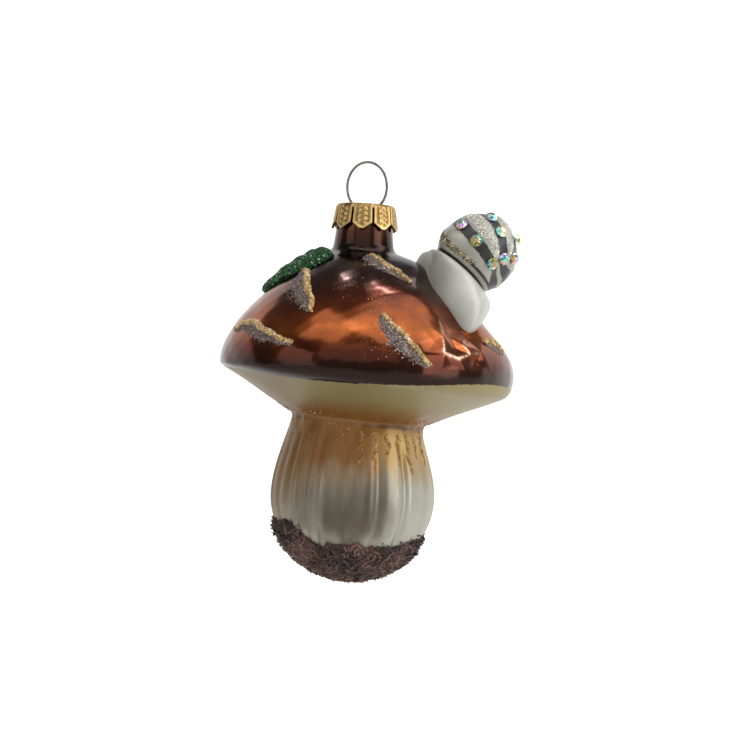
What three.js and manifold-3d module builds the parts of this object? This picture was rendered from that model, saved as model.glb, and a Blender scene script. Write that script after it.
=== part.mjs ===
// Mushroom Christmas ornament of blown glass, with a snail on its cap. Millimetres, +Z up.
// The origin is the point inside the top of the wire loop where the ornament hangs.
// The front faces -Y, and +X is to the right as seen from the front.
// Angles round the axis are in degrees from +X towards +Y, so the front is at -90.

import * as THREE from 'three';
import { mergeVertices } from 'three/addons/utils/BufferGeometryUtils.js';
import Module from 'manifold-3d';

const wasm = await Module();
wasm.setup();

const { degToRad, smoothstep, lerp, euclideanModulo } = THREE.MathUtils;

// Clearances
const GLUE_GAP = 0.3; // under each piece that is stuck on
const CROWN_PLAY = 0.3; // between the crown and the neck that it slips over
const WIRE_PLAY = 0.25; // round the wire, in the crown's slots and in the neck

// Hanger wire
const WIRE_DIAMETER = 0.65;
const LOOP_WIDTH = 9.4; // across the loop, on the wire's centre line
const LOOP_STAND = 9.8; // hanging point above the crown's top
const LOOP_CLOSE = 125; // degrees of the loop's ellipse on each side, from its top
const LEG_BOW = 1.2; // how far a leg springs out from its slot to the neck's bore
const LEG_STRAIGHT = 4.4; // straight stretch of a leg below the crown's top
const LEG_DEPTH = 15; // whole depth of a leg below the crown's top
const LEG_CURL = 1.3; // how far a leg's tip turns back in

// Crown
const CROWN_WALL = 0.35;
const CROWN_HEIGHT = 6.2;
const CROWN_SHOULDER = 0.8; // radius of the rounded top edge
const PETALS = 9;
const PETAL_TURN = 5; // degrees, of the first slit from +X
const PETAL_FLARE = 0.4; // how far the tips stand out from the neck's taper
const PETAL_SLIT = 0.45; // width of the slit between two petals
const PETAL_POINT = 1.5; // height of a petal's pointed end
const PETAL_TIP = 0.8; // width left at the point

// Blown glass: neck, cap, stem and foot
const GLASS_WALL = 1;
const NECK_RIM_RADIUS = 6.1;
const NECK_FOOT_RADIUS = 7.3;
const NECK_HEIGHT = 10.6;
const NECK_FILLET = 1.6;
const DOME_SLOPE = 26; // degrees, where the dome leaves the neck
const DOME_SHOULDER = 11.5; // how far the dome keeps that slope
const DOME_BROW = 10.4; // how far the dome comes down upright to the rim
const CAP_RADIUS = 35;
const CAP_HEIGHT = 27.35; // from the neck's foot to the widest ring
const CAP_OFFSET = 2.6; // cap's centre to the right of the neck's axis
const RIM_DROP = 4.2; // from the widest ring to the rim's lower edge
const RIM_TUCK = 2.5; // rim's lower edge inside the widest ring
const UNDERSIDE_DROP = 8.4; // from the rim's lower edge to the stem
const UNDERSIDE_TILT = 2.9; // degrees, right side down
const CREASE_FILLET = 1.1; // where the underside meets the stem
const STEM_TOP_RADIUS = 15.4;
const STEM_RADIUS = 19.5; // at the stem's fullest ring
const STEM_OFFSET = 1; // stem's centre to the right of the neck's axis
const STEM_LEAN = 11; // degrees, side of the stem at its top
const STEM_DROP = 18.4; // from the stem's top to its fullest ring
const FOOT_DROP = 18.6; // from the fullest ring to the bottom
const FLUTES = 13;
const FLUTE_DEPTH = 0.7;
const FLUTE_HALF_ANGLE = 6.5; // degrees
const FLUTE_WANDER = 8; // degrees, how far a flute strays from even spacing
const FLUTE_BEAT = 2.4; // radians of that straying from flute to flute

// Fullness of the glass's curves: length of a curve's handle as a share of the stretch it bends in
const RIM_FULLNESS = 0.55;
const LIP_FULLNESS = 0.7;
const STEM_TOP_FULLNESS = 0.25;
const STEM_SIDE_FULLNESS = 0.35;
const FOOT_SIDE_FULLNESS = 0.5;
const FOOT_BASE_FULLNESS = 0.57;

// Swells and hollows of the cap, each at an angle and a share of the dome's outline,
// with its rise and reach as shares of these two lengths
const SWELL_HEIGHT = 1.2;
const SWELL_SPREAD = 6;
const CAP_SWELLS = [
  { angle: 178, share: 0.58, rise: -0.9, reach: 1.5 },
  { angle: -22, share: 0.16, rise: 1, reach: 1 },
  { angle: -44, share: 0.68, rise: -1, reach: 0.9 },
  { angle: -60, share: 0.46, rise: 0.65, reach: 1 },
  { angle: -4, share: 0.68, rise: -1.35, reach: 1 },
];

// Snail: its seat on the dome, its flat joint above the seat,
// and the edge of its foot as angle and share of the dome's outline
const SNAIL_ANGLE = -21;
const SNAIL_SHARE = 0.36;
const JOINT_RISE = 1; // pivot of the joint's lean above the cap
const JOINT_STAND = 4; // joint above its pivot
const SEAT_RADIUS = 7.6; // flat top of the body
const FOOT_EDGE = [
  [-7, 0.108], [-25.5, 0.209], [-37, 0.325], [-42, 0.448], [-42, 0.553], [-40.5, 0.66],
  [-36, 0.685], [-25, 0.63], [-11, 0.55], [3, 0.44], [15, 0.34], [21, 0.2],
];
const BODY_SHOULDER = 0.38; // reach of the rounding beside the seat, as a share of the seat's radius
const BODY_WALL = 4.6; // height of the body's steep sides above the cap
const BODY_FLARE = 0.8; // reach of those sides beyond the foot's edge
const BODY_SINK = 2; // of the uncut body into the cap, and above the joint
const SHELL_LEAN = 22; // degrees, of the shell and its flat joint towards the back
const SHELL_UPHILL = 0.5;
const SHELL_DIAMETER = 18.8;
const SHELL_BREADTH = 18; // along the axis of the coil
const SHELL_TRIM = 2.75; // cut off the shell's underside
const SHELL_STRIPES = 8;
const STRIPE_HALF_ANGLE = 9.5; // degrees, of a flat dark stripe
const LOBE_HEIGHT = 0.55; // light lobes above the dark stripes
const WHORL_SWELL = 1.5; // of the lowest lobe, on the side away from the middle of the coil
const WHORL_ANGLE = 35; // degrees from the first stripe
const WHORL_SPREAD = 19; // degrees
const WHORL_SPAN = [0.4, 0.7]; // share of the way from pole to pole where it starts and where it is full
const NAVEL_RADIUS = 2.4; // hollow in the middle of the coil
const NAVEL_DEPTH = 0.8;
const COIL_AXIS = new THREE.Vector3(0.93, -0.32, -0.2); // in the frame of the shell's joint
const FIRST_STRIPE = new THREE.Vector3(-0.31, -0.95, 0.06);

// Flat-backed stones on the dark stripes
const STONE_DIAMETER = 2.7;
const STONE_HEIGHT = 1.15;
const STONE_GIRDLE = 0.3; // height of the upright edge
const STONE_TABLE = 1.3; // width of the flat top
const STONE_FACETS = 8;
const STONE_ROWS = [
  { stripe: 0, poles: [26, 67, 104] }, // degrees from the coil's axis
  { stripe: -1, poles: [26, 66, 95] },
  { stripe: -2, poles: [34, 68] },
  { stripe: -3, poles: [72, 108] },
  { stripe: -4, poles: [66, 104] },
];

// Leaf on the back left of the cap, along a path of angle and share of the dome's outline
const LEAF_PATH = [[208, 0.02], [197, 0.2], [186, 0.43]];
const LEAF_WIDTH = 12.4;
const LEAF_THICKNESS = 1.9;
const LEAF_EDGE = 0.45; // thickness at its sides as a share of the crest
const LEAF_END = 0.3; // thickness at its two ends as a share of the crest
const LEAF_STALK = 0.1; // width at its two ends as a share of the width
const LEAF_ROUNDNESS = 0.75; // power of its outline, rounder when smaller
const LEAF_MIDRIB = 0.5; // depth of the groove along the middle

// Cracks of the cap: path of the gold edge as angle and share of the dome's outline,
// width of the grey patch below it as a share of the widest, and where along the path that is
const GOLD_WIDTH = 1.1;
const GOLD_HEIGHT = 0.6;
const BEAD_EDGE = 0.45; // height at a bead's sides as a share of its crest
const BEAD_END = 0.6; // width and height at a bead's two ends as a share of its middle
const PATCH_WIDTH = 4.6;
const PATCH_HEIGHT = 0.3;
const PATCH_END = 0.4; // width of a patch at its two ends
const CRACKS = [
  { path: [[-158, 0.78], [-148, 0.72], [-135, 0.78], [-120, 0.86]], width: 0.6, peak: 0.5 },
  { path: [[-142, 0.26], [-131, 0.32], [-119, 0.5], [-115, 0.62]], width: 1, peak: 0.45 },
  { path: [[-79, 0.03], [-69, 0.14], [-63, 0.22], [-57, 0.33]], width: 0.65, peak: 0.3 },
  { path: [[-82, 0.61], [-78, 0.71], [-72, 0.83], [-66, 0.97]], width: 0.9, peak: 0.5 },
  { path: [[-33, 0.76], [-29, 0.76], [-25, 0.79], [-21, 0.83]], width: 0.45, peak: 0.5 },
  { path: [[22, 0.72], [31, 0.69], [42, 0.76], [55, 0.84]], width: 0.55, peak: 0.45 },
  { path: [[58, 0.15], [66, 0.23], [72, 0.33], [74, 0.44]], width: 0.6, peak: 0.35 },
  { path: [[80, 0.55], [85, 0.66], [92, 0.78], [99, 0.9]], width: 0.75, peak: 0.45 },
  { path: [[126, 0.67], [136, 0.63], [148, 0.7], [161, 0.8]], width: 0.55, peak: 0.45 },
];

// Runs of gold glitter down the top of the stem
const RUN_GROUPS = [
  { first: -85, count: 7 },
  { first: 95, count: 5 },
];
const RUN_PITCH = 10.6; // degrees
const RUN_WIDTH = 0.8;
const RUN_HEIGHT = 0.3;
const RUN_TOP = 0.08; // share of the stem's outline
const RUN_REACH = 0.46;
const RUN_RAGGED = 0.12; // how far the lengths differ
const RUN_BEAT = 2.1; // radians of that difference from run to run
const RUN_SWAY = 1; // degrees, of a run's middle

// Soil crust on the foot
const CRUST_THICKNESS = 1.3;
const CRUST_EDGE = 0.5; // thickness at the upper edge
const CRUST_HEIGHT = 8; // of the upper edge above the bottom, at the front
const CRUST_LEFT_RISE = 4.4; // how much higher the edge is on the left
const CRUST_RIGHT_RISE = 1.8;
const CRUST_LEFT_SPAN = [0.5, 0.85]; // cosine from the left, where the rise starts and where it is full
const CRUST_RIGHT_SPAN = [0.7, 0.95];
const CRUST_RIPPLE = 0.3; // of the edge
const CRUST_RIPPLES = 7;
const CRUST_LUMP = 0.35; // of the face
const CRUST_LUMP_BEAT = [2.7, 1.9]; // radians from facet to facet and from ring to ring

// Fineness of the facets
const ROUND_STEPS = 48;
const OUTER_RINGS = { neck: 2, fillet: 2, dome: 10, rim: 4, underside: 3, crease: 2, stem: 7, foot: 7 };
const INNER_RINGS = { neck: 1, fillet: 1, dome: 5, rim: 3, underside: 2, crease: 1, stem: 4, foot: 5 };
const BODY_STEPS = 32;
const BODY_RINGS = 8;
const STRIPE_STEPS = 6; // facets of the shell from stripe to stripe
const SHELL_RINGS = 15;
const PETAL_STEPS = 4; // facets of the crown from petal to petal
const SHOULDER_STEPS = 3;
const LOOP_POINTS = 12; // on each half of the wire's loop
const LEAF_STEPS = 10;
const LEAF_COLUMNS = 6;
const PATCH_STEPS = 8;
const PATCH_COLUMNS = 2;
const EDGE_STEPS = 9;
const RUN_STEPS = 4;
const BEAD_COLUMNS = 2;
const CRUST_RINGS = 6;
const CRUST_SEARCHES = 30; // halvings to find the crust's edge on the foot
const WIRE_STEPS = 62;
const WIRE_SIDES = 8;

// Small steps for the slope of a surface
const SHARE_STEP = 0.001;
const ANGLE_STEP = 0.1; // degrees
const MERGE_DISTANCE = 1e-4;

// Levels, from the hanging point down
const crownTopZ = -LOOP_STAND;
const neckTopZ = crownTopZ - CROWN_WALL - GLUE_GAP;
const neckFootZ = neckTopZ - NECK_HEIGHT;
const rimZ = neckFootZ - CAP_HEIGHT;
const lipZ = rimZ - RIM_DROP;
const stemTopZ = lipZ - UNDERSIDE_DROP;
const bulgeZ = stemTopZ - STEM_DROP;
const footZ = bulgeZ - FOOT_DROP;

const at = (x, y) => new THREE.Vector2(x, y);

/** Point that lies a length away from another, along a direction in degrees below the level. */
function onward(from, length, degreesDown) {
  const turn = degToRad(degreesDown);
  return at(from.x + length * Math.cos(turn), from.y - length * Math.sin(turn));
}

/** Outline of the glass, as radius and height, in stretches from the neck's rim to the bottom. */
function glassOutline() {
  const neckRim = at(NECK_RIM_RADIUS, neckTopZ);
  const neckFoot = at(NECK_FOOT_RADIUS, neckFootZ);
  const neckEnd = neckRim.clone().lerp(neckFoot, 1 - NECK_FILLET / NECK_HEIGHT);
  const domeStart = onward(neckFoot, NECK_FILLET, DOME_SLOPE);
  const domeEnd = at(CAP_RADIUS, rimZ);
  const lip = at(CAP_RADIUS - RIM_TUCK, lipZ);
  const stemTop = at(STEM_TOP_RADIUS, stemTopZ);
  const inward = stemTop.clone().sub(lip).normalize();
  const undersideEnd = stemTop.clone().addScaledVector(inward, -CREASE_FILLET);
  const stemStart = onward(stemTop, CREASE_FILLET, 90 - STEM_LEAN);
  const bulge = at(STEM_RADIUS, bulgeZ);
  const bottom = at(0, footZ);
  return {
    neck: new THREE.LineCurve(neckRim, neckEnd),
    fillet: new THREE.QuadraticBezierCurve(neckEnd, neckFoot, domeStart),
    dome: new THREE.CubicBezierCurve(
      domeStart,
      onward(domeStart, DOME_SHOULDER, DOME_SLOPE),
      at(CAP_RADIUS, rimZ + DOME_BROW),
      domeEnd,
    ),
    rim: new THREE.CubicBezierCurve(
      domeEnd,
      at(CAP_RADIUS, rimZ - RIM_FULLNESS * RIM_DROP),
      lip.clone().addScaledVector(inward, -LIP_FULLNESS * RIM_TUCK),
      lip,
    ),
    underside: new THREE.LineCurve(lip, undersideEnd),
    crease: new THREE.QuadraticBezierCurve(undersideEnd, stemTop, stemStart),
    stem: new THREE.CubicBezierCurve(
      stemStart,
      onward(stemStart, STEM_TOP_FULLNESS * STEM_DROP, 90 - STEM_LEAN),
      at(STEM_RADIUS, bulgeZ + STEM_SIDE_FULLNESS * STEM_DROP),
      bulge,
    ),
    foot: new THREE.CubicBezierCurve(
      bulge,
      at(STEM_RADIUS, bulgeZ - FOOT_SIDE_FULLNESS * FOOT_DROP),
      at(FOOT_BASE_FULLNESS * STEM_RADIUS, footZ),
      bottom,
    ),
  };
}

const outline = glassOutline();

/** Offset of a level to the right of the neck's axis. */
function offsetAt(z) {
  const toRim = smoothstep(neckFootZ - z, 0, CAP_HEIGHT);
  const toStem = smoothstep(lipZ - z, 0, UNDERSIDE_DROP);
  return lerp(CAP_OFFSET * toRim, STEM_OFFSET, toStem);
}

/** Slope of a level, right side down: all of it on the underside, none at the rim or the stem's middle. */
function slopeAt(z) {
  const fromRim = smoothstep(rimZ - z, 0, RIM_DROP);
  const toBulge = smoothstep(stemTopZ - z, 0, STEM_DROP);
  return Math.tan(degToRad(UNDERSIDE_TILT)) * fromRim * (1 - toBulge);
}

/** Depth of the stem's flutes, which stray from even spacing and fade at both ends of the stem. */
function fluteDepth(angle, z) {
  const fade = smoothstep(stemTopZ - z, 0, STEM_DROP) * smoothstep(z - footZ, 0, FOOT_DROP / 2);
  let depth = 0;
  for (let i = 0; i < FLUTES; i += 1) {
    const middle = (360 / FLUTES) * i + FLUTE_WANDER * Math.sin(FLUTE_BEAT * i);
    const away = euclideanModulo(angle - middle + 180, 360) - 180;
    depth += FLUTE_DEPTH * Math.exp(-((away / FLUTE_HALF_ANGLE) ** 2));
  }
  return fade * depth;
}

/** Point of the outer glass without the cap's swells. */
function plainSkin(stretch, share, angle) {
  const { x: radius, y: z } = outline[stretch].getPoint(share);
  const turn = degToRad(angle);
  const fluted = radius - fluteDepth(angle, z);
  const sideways = fluted * Math.cos(turn);
  return new THREE.Vector3(offsetAt(z) + sideways, fluted * Math.sin(turn), z - slopeAt(z) * sideways);
}

/** Frame of a surface at a share of its outline and an angle: down the outline, across it and outwards. */
function surfaceFrame(skin, share, angle) {
  const before = Math.max(share - SHARE_STEP, 0);
  const after = Math.min(share + SHARE_STEP, 1);
  const down = skin(after, angle).sub(skin(before, angle));
  const round = skin(share, angle + ANGLE_STEP).sub(skin(share, angle - ANGLE_STEP));
  const out = down.clone().cross(round).normalize();
  down.normalize();
  const across = out.clone().cross(down);
  return new THREE.Matrix4().makeBasis(down, across, out).setPosition(skin(share, angle));
}

const plainDome = (share, angle) => plainSkin('dome', share, angle);

const axisOf = (frame, column) => new THREE.Vector3().setFromMatrixColumn(frame, column);

const swells = CAP_SWELLS.map(({ angle, share, rise, reach }) => {
  const frame = surfaceFrame(plainDome, share, angle);
  const push = axisOf(frame, 2).multiplyScalar(SWELL_HEIGHT * rise);
  return { middle: axisOf(frame, 3), push, spread: SWELL_SPREAD * reach };
});

/** Point of the outer glass, with the cap's swells. */
function glassSkin(stretch, share, angle) {
  const plain = plainSkin(stretch, share, angle);
  const point = plain.clone();
  for (const { middle, push, spread } of swells) {
    const away = plain.distanceTo(middle) / spread;
    point.addScaledVector(push, Math.exp(-away * away));
  }
  return point;
}

/** Point at a height above the glass, or in it where the height is negative. */
function above(stretch, share, angle, height) {
  const skin = (part, turn) => glassSkin(stretch, part, turn);
  const frame = surfaceFrame(skin, share, angle);
  return axisOf(frame, 3).addScaledVector(axisOf(frame, 2), height);
}

/** Geometry of points and triangles, turned so that its faces point outwards. */
function closedGeometry(points, triangles) {
  let volume = 0;
  for (const [a, b, c] of triangles) {
    volume += points[a].dot(points[b].clone().cross(points[c]));
  }
  const outward = volume < 0 ? triangles.map(([a, b, c]) => [a, c, b]) : triangles;
  const geometry = new THREE.BufferGeometry().setFromPoints(points);
  geometry.setIndex(outward.flat());
  return geometry;
}

/** Solid through a stack of rings with equal numbers of points, closed by a point at each end. */
function ringSolid(firstPole, rings, lastPole) {
  const count = rings[0].length;
  const points = [firstPole, ...rings.flat(), lastPole];
  const last = points.length - 1;
  const index = (ring, step) => 1 + ring * count + (step % count);
  const triangles = [];
  for (let step = 0; step < count; step += 1) {
    triangles.push([0, index(0, step + 1), index(0, step)]);
    for (let ring = 0; ring + 1 < rings.length; ring += 1) {
      triangles.push([index(ring, step), index(ring, step + 1), index(ring + 1, step)]);
      triangles.push([index(ring, step + 1), index(ring + 1, step + 1), index(ring + 1, step)]);
    }
    triangles.push([last, index(rings.length - 1, step), index(rings.length - 1, step + 1)]);
  }
  return closedGeometry(points, triangles);
}

/** Plate between a lower and an upper sheet of points, given by their rows. */
function plateSolid(lower, upper) {
  const rows = lower.length;
  const columns = lower[0].length;
  const points = [...lower.flat(), ...upper.flat()];
  const low = (row, column) => row * columns + column;
  const high = (row, column) => rows * columns + low(row, column);
  const triangles = [];
  const quad = (a, b, c, d) => triangles.push([a, b, c], [a, c, d]);
  for (let i = 0; i + 1 < rows; i += 1) {
    for (let j = 0; j + 1 < columns; j += 1) {
      quad(high(i, j), high(i, j + 1), high(i + 1, j + 1), high(i + 1, j));
      quad(low(i, j), low(i + 1, j), low(i + 1, j + 1), low(i, j + 1));
    }
    quad(low(i, 0), high(i, 0), high(i + 1, 0), low(i + 1, 0));
    quad(low(i, columns - 1), low(i + 1, columns - 1), high(i + 1, columns - 1), high(i, columns - 1));
  }
  for (let j = 0; j + 1 < columns; j += 1) {
    quad(low(0, j), low(0, j + 1), high(0, j + 1), high(0, j));
    quad(low(rows - 1, j), high(rows - 1, j), high(rows - 1, j + 1), low(rows - 1, j + 1));
  }
  return closedGeometry(points, triangles);
}

/** The same geometry with merged points and its faces turned outwards. */
function closedFrom(geometry) {
  geometry.deleteAttribute('normal');
  geometry.deleteAttribute('uv');
  const merged = mergeVertices(geometry, MERGE_DISTANCE);
  const { position } = merged.attributes;
  const points = [];
  for (let i = 0; i < position.count; i += 1) {
    points.push(new THREE.Vector3().fromBufferAttribute(position, i));
  }
  const triangles = [];
  for (let i = 0; i < merged.index.count; i += 3) {
    const [a, b, c] = merged.index.array.slice(i, i + 3);
    if (a !== b && b !== c && c !== a) {
      triangles.push([a, b, c]);
    }
  }
  return closedGeometry(points, triangles);
}

/** Solid for joining and cutting, from a closed geometry. */
function solidOf(geometry) {
  const bare = geometry.clone();
  bare.deleteAttribute('normal');
  bare.deleteAttribute('uv');
  const merged = mergeVertices(bare, MERGE_DISTANCE);
  const vertProperties = new Float32Array(merged.attributes.position.array);
  const triVerts = new Uint32Array(merged.index.array);
  return new wasm.Manifold(new wasm.Mesh({ numProp: 3, vertProperties, triVerts }));
}

/** Geometry of a solid that was joined or cut. */
function geometryOf(solid) {
  const { vertProperties, triVerts } = solid.getMesh();
  const geometry = new THREE.BufferGeometry();
  geometry.setAttribute('position', new THREE.BufferAttribute(vertProperties, 3));
  geometry.setIndex(new THREE.BufferAttribute(triVerts, 1));
  return geometry;
}

/** Shares of the outline at which the glass has rings, from the neck's rim to just above the bottom. */
function ringStations(counts) {
  return Object.entries(counts).flatMap(([stretch, count]) =>
    Array.from({ length: count }, (_, i) => ({ stretch, share: i / count })),
  );
}

/** Ring of points at a height above the glass. */
function glassRing({ stretch, share }, height) {
  const pitch = 360 / ROUND_STEPS;
  return Array.from({ length: ROUND_STEPS }, (_, i) => above(stretch, share, pitch * i, height));
}

/** Thin shell of blown glass, open at the neck. */
function mushroomGlass() {
  const outer = ringStations(OUTER_RINGS).map((station) => glassRing(station, 0));
  const inner = ringStations(INNER_RINGS).map((station) => glassRing(station, -GLASS_WALL));
  inner[0].forEach((point) => point.setZ(neckTopZ));
  const outerPole = new THREE.Vector3(STEM_OFFSET, 0, footZ);
  const innerPole = new THREE.Vector3(STEM_OFFSET, 0, footZ + GLASS_WALL);
  return ringSolid(outerPole, [...outer.reverse(), ...inner], innerPole);
}

/** Filled body of the glass with a skin of glue round it, for cutting what sits on it. */
function glassWithGlue() {
  const rings = ringStations(OUTER_RINGS).map((station) => glassRing(station, GLUE_GAP));
  const topPole = new THREE.Vector3(0, 0, neckTopZ);
  const bottomPole = new THREE.Vector3(STEM_OFFSET, 0, footZ - GLUE_GAP);
  return solidOf(ringSolid(topPole, rings, bottomPole));
}

/** Radius of the neck's outside at a level. */
function neckRadius(z) {
  return lerp(NECK_RIM_RADIUS, NECK_FOOT_RADIUS, (neckTopZ - z) / NECK_HEIGHT);
}

// Centre line of a leg of the wire where it bears on the neck's bore, and where it goes through the crown
const legBoreX = NECK_RIM_RADIUS - GLASS_WALL - WIRE_PLAY - WIRE_DIAMETER / 2;
const legSlotX = legBoreX - LEG_BOW;

/** Petal gap of the crown as a flat outline: a slit that opens into the pointed ends on its two sides. */
function petalGap(tipRadius) {
  const top = crownTopZ - CROWN_SHOULDER - CROWN_WALL;
  const bottom = crownTopZ - CROWN_HEIGHT;
  const slit = PETAL_SLIT / 2;
  const side = tipRadius * Math.tan(Math.PI / PETALS) - PETAL_TIP / 2;
  const right = [
    at(slit, top),
    at(slit, bottom + PETAL_POINT),
    at(side, bottom),
    at(side, bottom - CROWN_WALL),
  ];
  const left = right.map((point) => at(-point.x, point.y)).reverse();
  return new THREE.Shape([...right, ...left]);
}

/** Stamped cup of the crown with its petals cut out and two slots for the wire's legs. */
function crown() {
  const innerTop = neckRadius(neckTopZ) + CROWN_PLAY;
  const bottomZ = crownTopZ - CROWN_HEIGHT;
  const innerMouth = neckRadius(bottomZ) + CROWN_PLAY + PETAL_FLARE;
  const topRadius = innerTop + CROWN_WALL;
  const mouthRadius = innerMouth + CROWN_WALL;
  const shoulder = new THREE.EllipseCurve(
    topRadius - CROWN_SHOULDER, crownTopZ - CROWN_SHOULDER,
    CROWN_SHOULDER, CROWN_SHOULDER, 0, Math.PI / 2,
  );
  const profile = [
    at(0, crownTopZ - CROWN_WALL),
    at(innerTop, crownTopZ - CROWN_WALL),
    at(innerTop, neckTopZ),
    at(innerMouth, bottomZ),
    at(mouthRadius, bottomZ),
    ...shoulder.getPoints(SHOULDER_STEPS),
    at(0, crownTopZ),
  ];
  const cup = new THREE.LatheGeometry(profile, PETALS * PETAL_STEPS);
  cup.rotateX(Math.PI / 2);
  let solid = solidOf(closedFrom(cup));
  const depth = mouthRadius + CROWN_WALL;
  const gap = new THREE.ExtrudeGeometry(petalGap(mouthRadius), { depth, bevelEnabled: false });
  gap.rotateX(Math.PI / 2);
  for (let i = 0; i < PETALS; i += 1) {
    const turn = degToRad(PETAL_TURN + (360 / PETALS) * i + 90);
    solid = solid.subtract(solidOf(gap.clone().rotateZ(turn)));
  }
  for (const side of [-1, 1]) {
    solid = solid.subtract(solidOf(wireSlot(side)));
  }
  return geometryOf(solid);
}

/** Round-ended slot in the crown's top, long enough for the loop's slanting end. */
function wireSlot(side) {
  const half = WIRE_DIAMETER / 2 + WIRE_PLAY;
  const middle = side * legSlotX;
  const slot = new THREE.Shape();
  slot.absarc(middle + WIRE_DIAMETER / 2, 0, half, -Math.PI / 2, Math.PI / 2);
  slot.absarc(middle - WIRE_DIAMETER / 2, 0, half, Math.PI / 2, (3 * Math.PI) / 2);
  const depth = 4 * CROWN_WALL;
  const options = { depth, bevelEnabled: false, curveSegments: WIRE_SIDES / 2 };
  const block = new THREE.ExtrudeGeometry(slot, options);
  return block.translate(0, 0, crownTopZ - CROWN_WALL / 2 - depth / 2);
}

/** Right half of the hanger's centre line, from the top of the loop to the tip of the leg. */
function hangerHalf() {
  const close = degToRad(LOOP_CLOSE);
  const loopEndX = (LOOP_WIDTH / 2) * Math.sin(close);
  const loopEndZ = crownTopZ + WIRE_DIAMETER / 2 + Math.abs(loopEndX - legSlotX);
  const halfHeight = (WIRE_DIAMETER / 2 - loopEndZ) / (1 - Math.cos(close));
  const middleZ = WIRE_DIAMETER / 2 - halfHeight;
  const loop = new THREE.EllipseCurve(
    0, middleZ, LOOP_WIDTH / 2, halfHeight, Math.PI / 2, Math.PI / 2 - close, true,
  );
  const bendZ = crownTopZ - LEG_STRAIGHT;
  const tipZ = crownTopZ - LEG_DEPTH;
  return [
    ...loop.getPoints(LOOP_POINTS),
    at(legSlotX, crownTopZ),
    at(legSlotX, (crownTopZ + bendZ) / 2),
    at(legSlotX, bendZ),
    at(legBoreX, (bendZ + tipZ) / 2),
    at(legBoreX - LEG_CURL, tipZ),
  ];
}

/** Spring wire: the loop and the two legs that press on the inside of the neck. */
function hangerWire() {
  const right = hangerHalf();
  const left = right.slice(1).map((point) => at(-point.x, point.y)).reverse();
  const route = [...left, ...right].map((point) => new THREE.Vector3(point.x, 0, point.y));
  const extrudePath = new THREE.CatmullRomCurve3(route, false, 'centripetal');
  const section = new THREE.Shape();
  section.absarc(0, 0, WIRE_DIAMETER / 2, 0, 2 * Math.PI);
  const options = { steps: WIRE_STEPS, extrudePath, curveSegments: WIRE_SIDES / 2, bevelEnabled: false };
  return new THREE.ExtrudeGeometry(section, options);
}

const snailFrame = surfaceFrame(plainDome, SNAIL_SHARE, SNAIL_ANGLE);

// Frame in the middle of the flat joint between the snail's body and its shell
const jointFrame = new THREE.Matrix4()
  .makeRotationX(-degToRad(SHELL_LEAN))
  .setPosition(-SHELL_UPHILL, 0, JOINT_RISE)
  .multiply(new THREE.Matrix4().makeTranslation(0, 0, JOINT_STAND))
  .premultiply(snailFrame);

/** Block on one side of the flat joint between the snail's body and its shell. */
function jointBlock(side) {
  const size = 4 * SHELL_DIAMETER;
  const block = new THREE.BoxGeometry(size, size, size);
  block.translate(0, 0, side * (size / 2 - GLUE_GAP / 2));
  return solidOf(block.applyMatrix4(jointFrame));
}

/** Side of the snail's body, from the seat of its shell down to a place on the edge of its foot. */
function bodySide(foot, footMiddle) {
  const away = foot.clone().sub(footMiddle);
  const turn = Math.atan2(away.dot(axisOf(snailFrame, 1)), away.dot(axisOf(snailFrame, 0)));
  const brim = new THREE.Vector3(SEAT_RADIUS * Math.cos(turn), SEAT_RADIUS * Math.sin(turn), 0);
  brim.applyMatrix4(jointFrame);
  const shoulder = brim.clone().lerp(axisOf(jointFrame, 3), -BODY_SHOULDER);
  const wall = foot.clone().addScaledVector(axisOf(snailFrame, 2), BODY_WALL);
  wall.addScaledVector(away.normalize(), BODY_FLARE);
  return new THREE.CubicBezierCurve3(brim, shoulder, wall, foot);
}

/** Snail's body, cut to the cap below it and flat where the shell sits. */
function snailBody() {
  const places = FOOT_EDGE.map(([angle, share]) => new THREE.Vector3(angle, share, 0));
  const edge = new THREE.CatmullRomCurve3(places, true, 'catmullrom');
  const foot = Array.from({ length: BODY_STEPS }, (_, i) => {
    const place = edge.getPoint(i / BODY_STEPS);
    return glassSkin('dome', place.y, place.x);
  });
  const footMiddle = new THREE.Vector3();
  foot.forEach((point) => footMiddle.addScaledVector(point, 1 / BODY_STEPS));
  const sides = foot.map((point) => bodySide(point, footMiddle));
  const upwards = axisOf(jointFrame, 2).multiplyScalar(BODY_SINK);
  const inwards = axisOf(snailFrame, 2).multiplyScalar(-BODY_SINK);
  const rings = [sides.map((side) => side.getPoint(0).add(upwards))];
  for (let ring = 0; ring <= BODY_RINGS; ring += 1) {
    rings.push(sides.map((side) => side.getPoint(ring / BODY_RINGS)));
  }
  rings.push(foot.map((point) => point.clone().add(inwards)));
  const top = axisOf(jointFrame, 3).add(upwards);
  const bottom = footMiddle.clone().add(inwards);
  const solid = solidOf(ringSolid(top, rings, bottom));
  return geometryOf(solid.subtract(glassWithGlue()).subtract(jointBlock(1)));
}

/** Height of a light lobe of the shell at an angle round the coil's axis, nothing on the dark stripes. */
function lobeHeight(angle) {
  const pitch = 360 / SHELL_STRIPES;
  const away = Math.abs(euclideanModulo(angle + pitch / 2, pitch) - pitch / 2);
  const inLobe = Math.max(away - STRIPE_HALF_ANGLE, 0) / (pitch / 2 - STRIPE_HALF_ANGLE);
  return LOBE_HEIGHT * Math.sin((Math.PI / 2) * inLobe);
}

const coilFrame = (() => {
  const axis = COIL_AXIS.clone().normalize();
  const second = axis.clone().cross(FIRST_STRIPE).normalize();
  const first = second.clone().cross(axis);
  const frame = new THREE.Matrix4().makeBasis(first, second, axis);
  frame.setPosition(0, 0, SHELL_DIAMETER / 2 - SHELL_TRIM);
  return frame.premultiply(jointFrame);
})();

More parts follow.
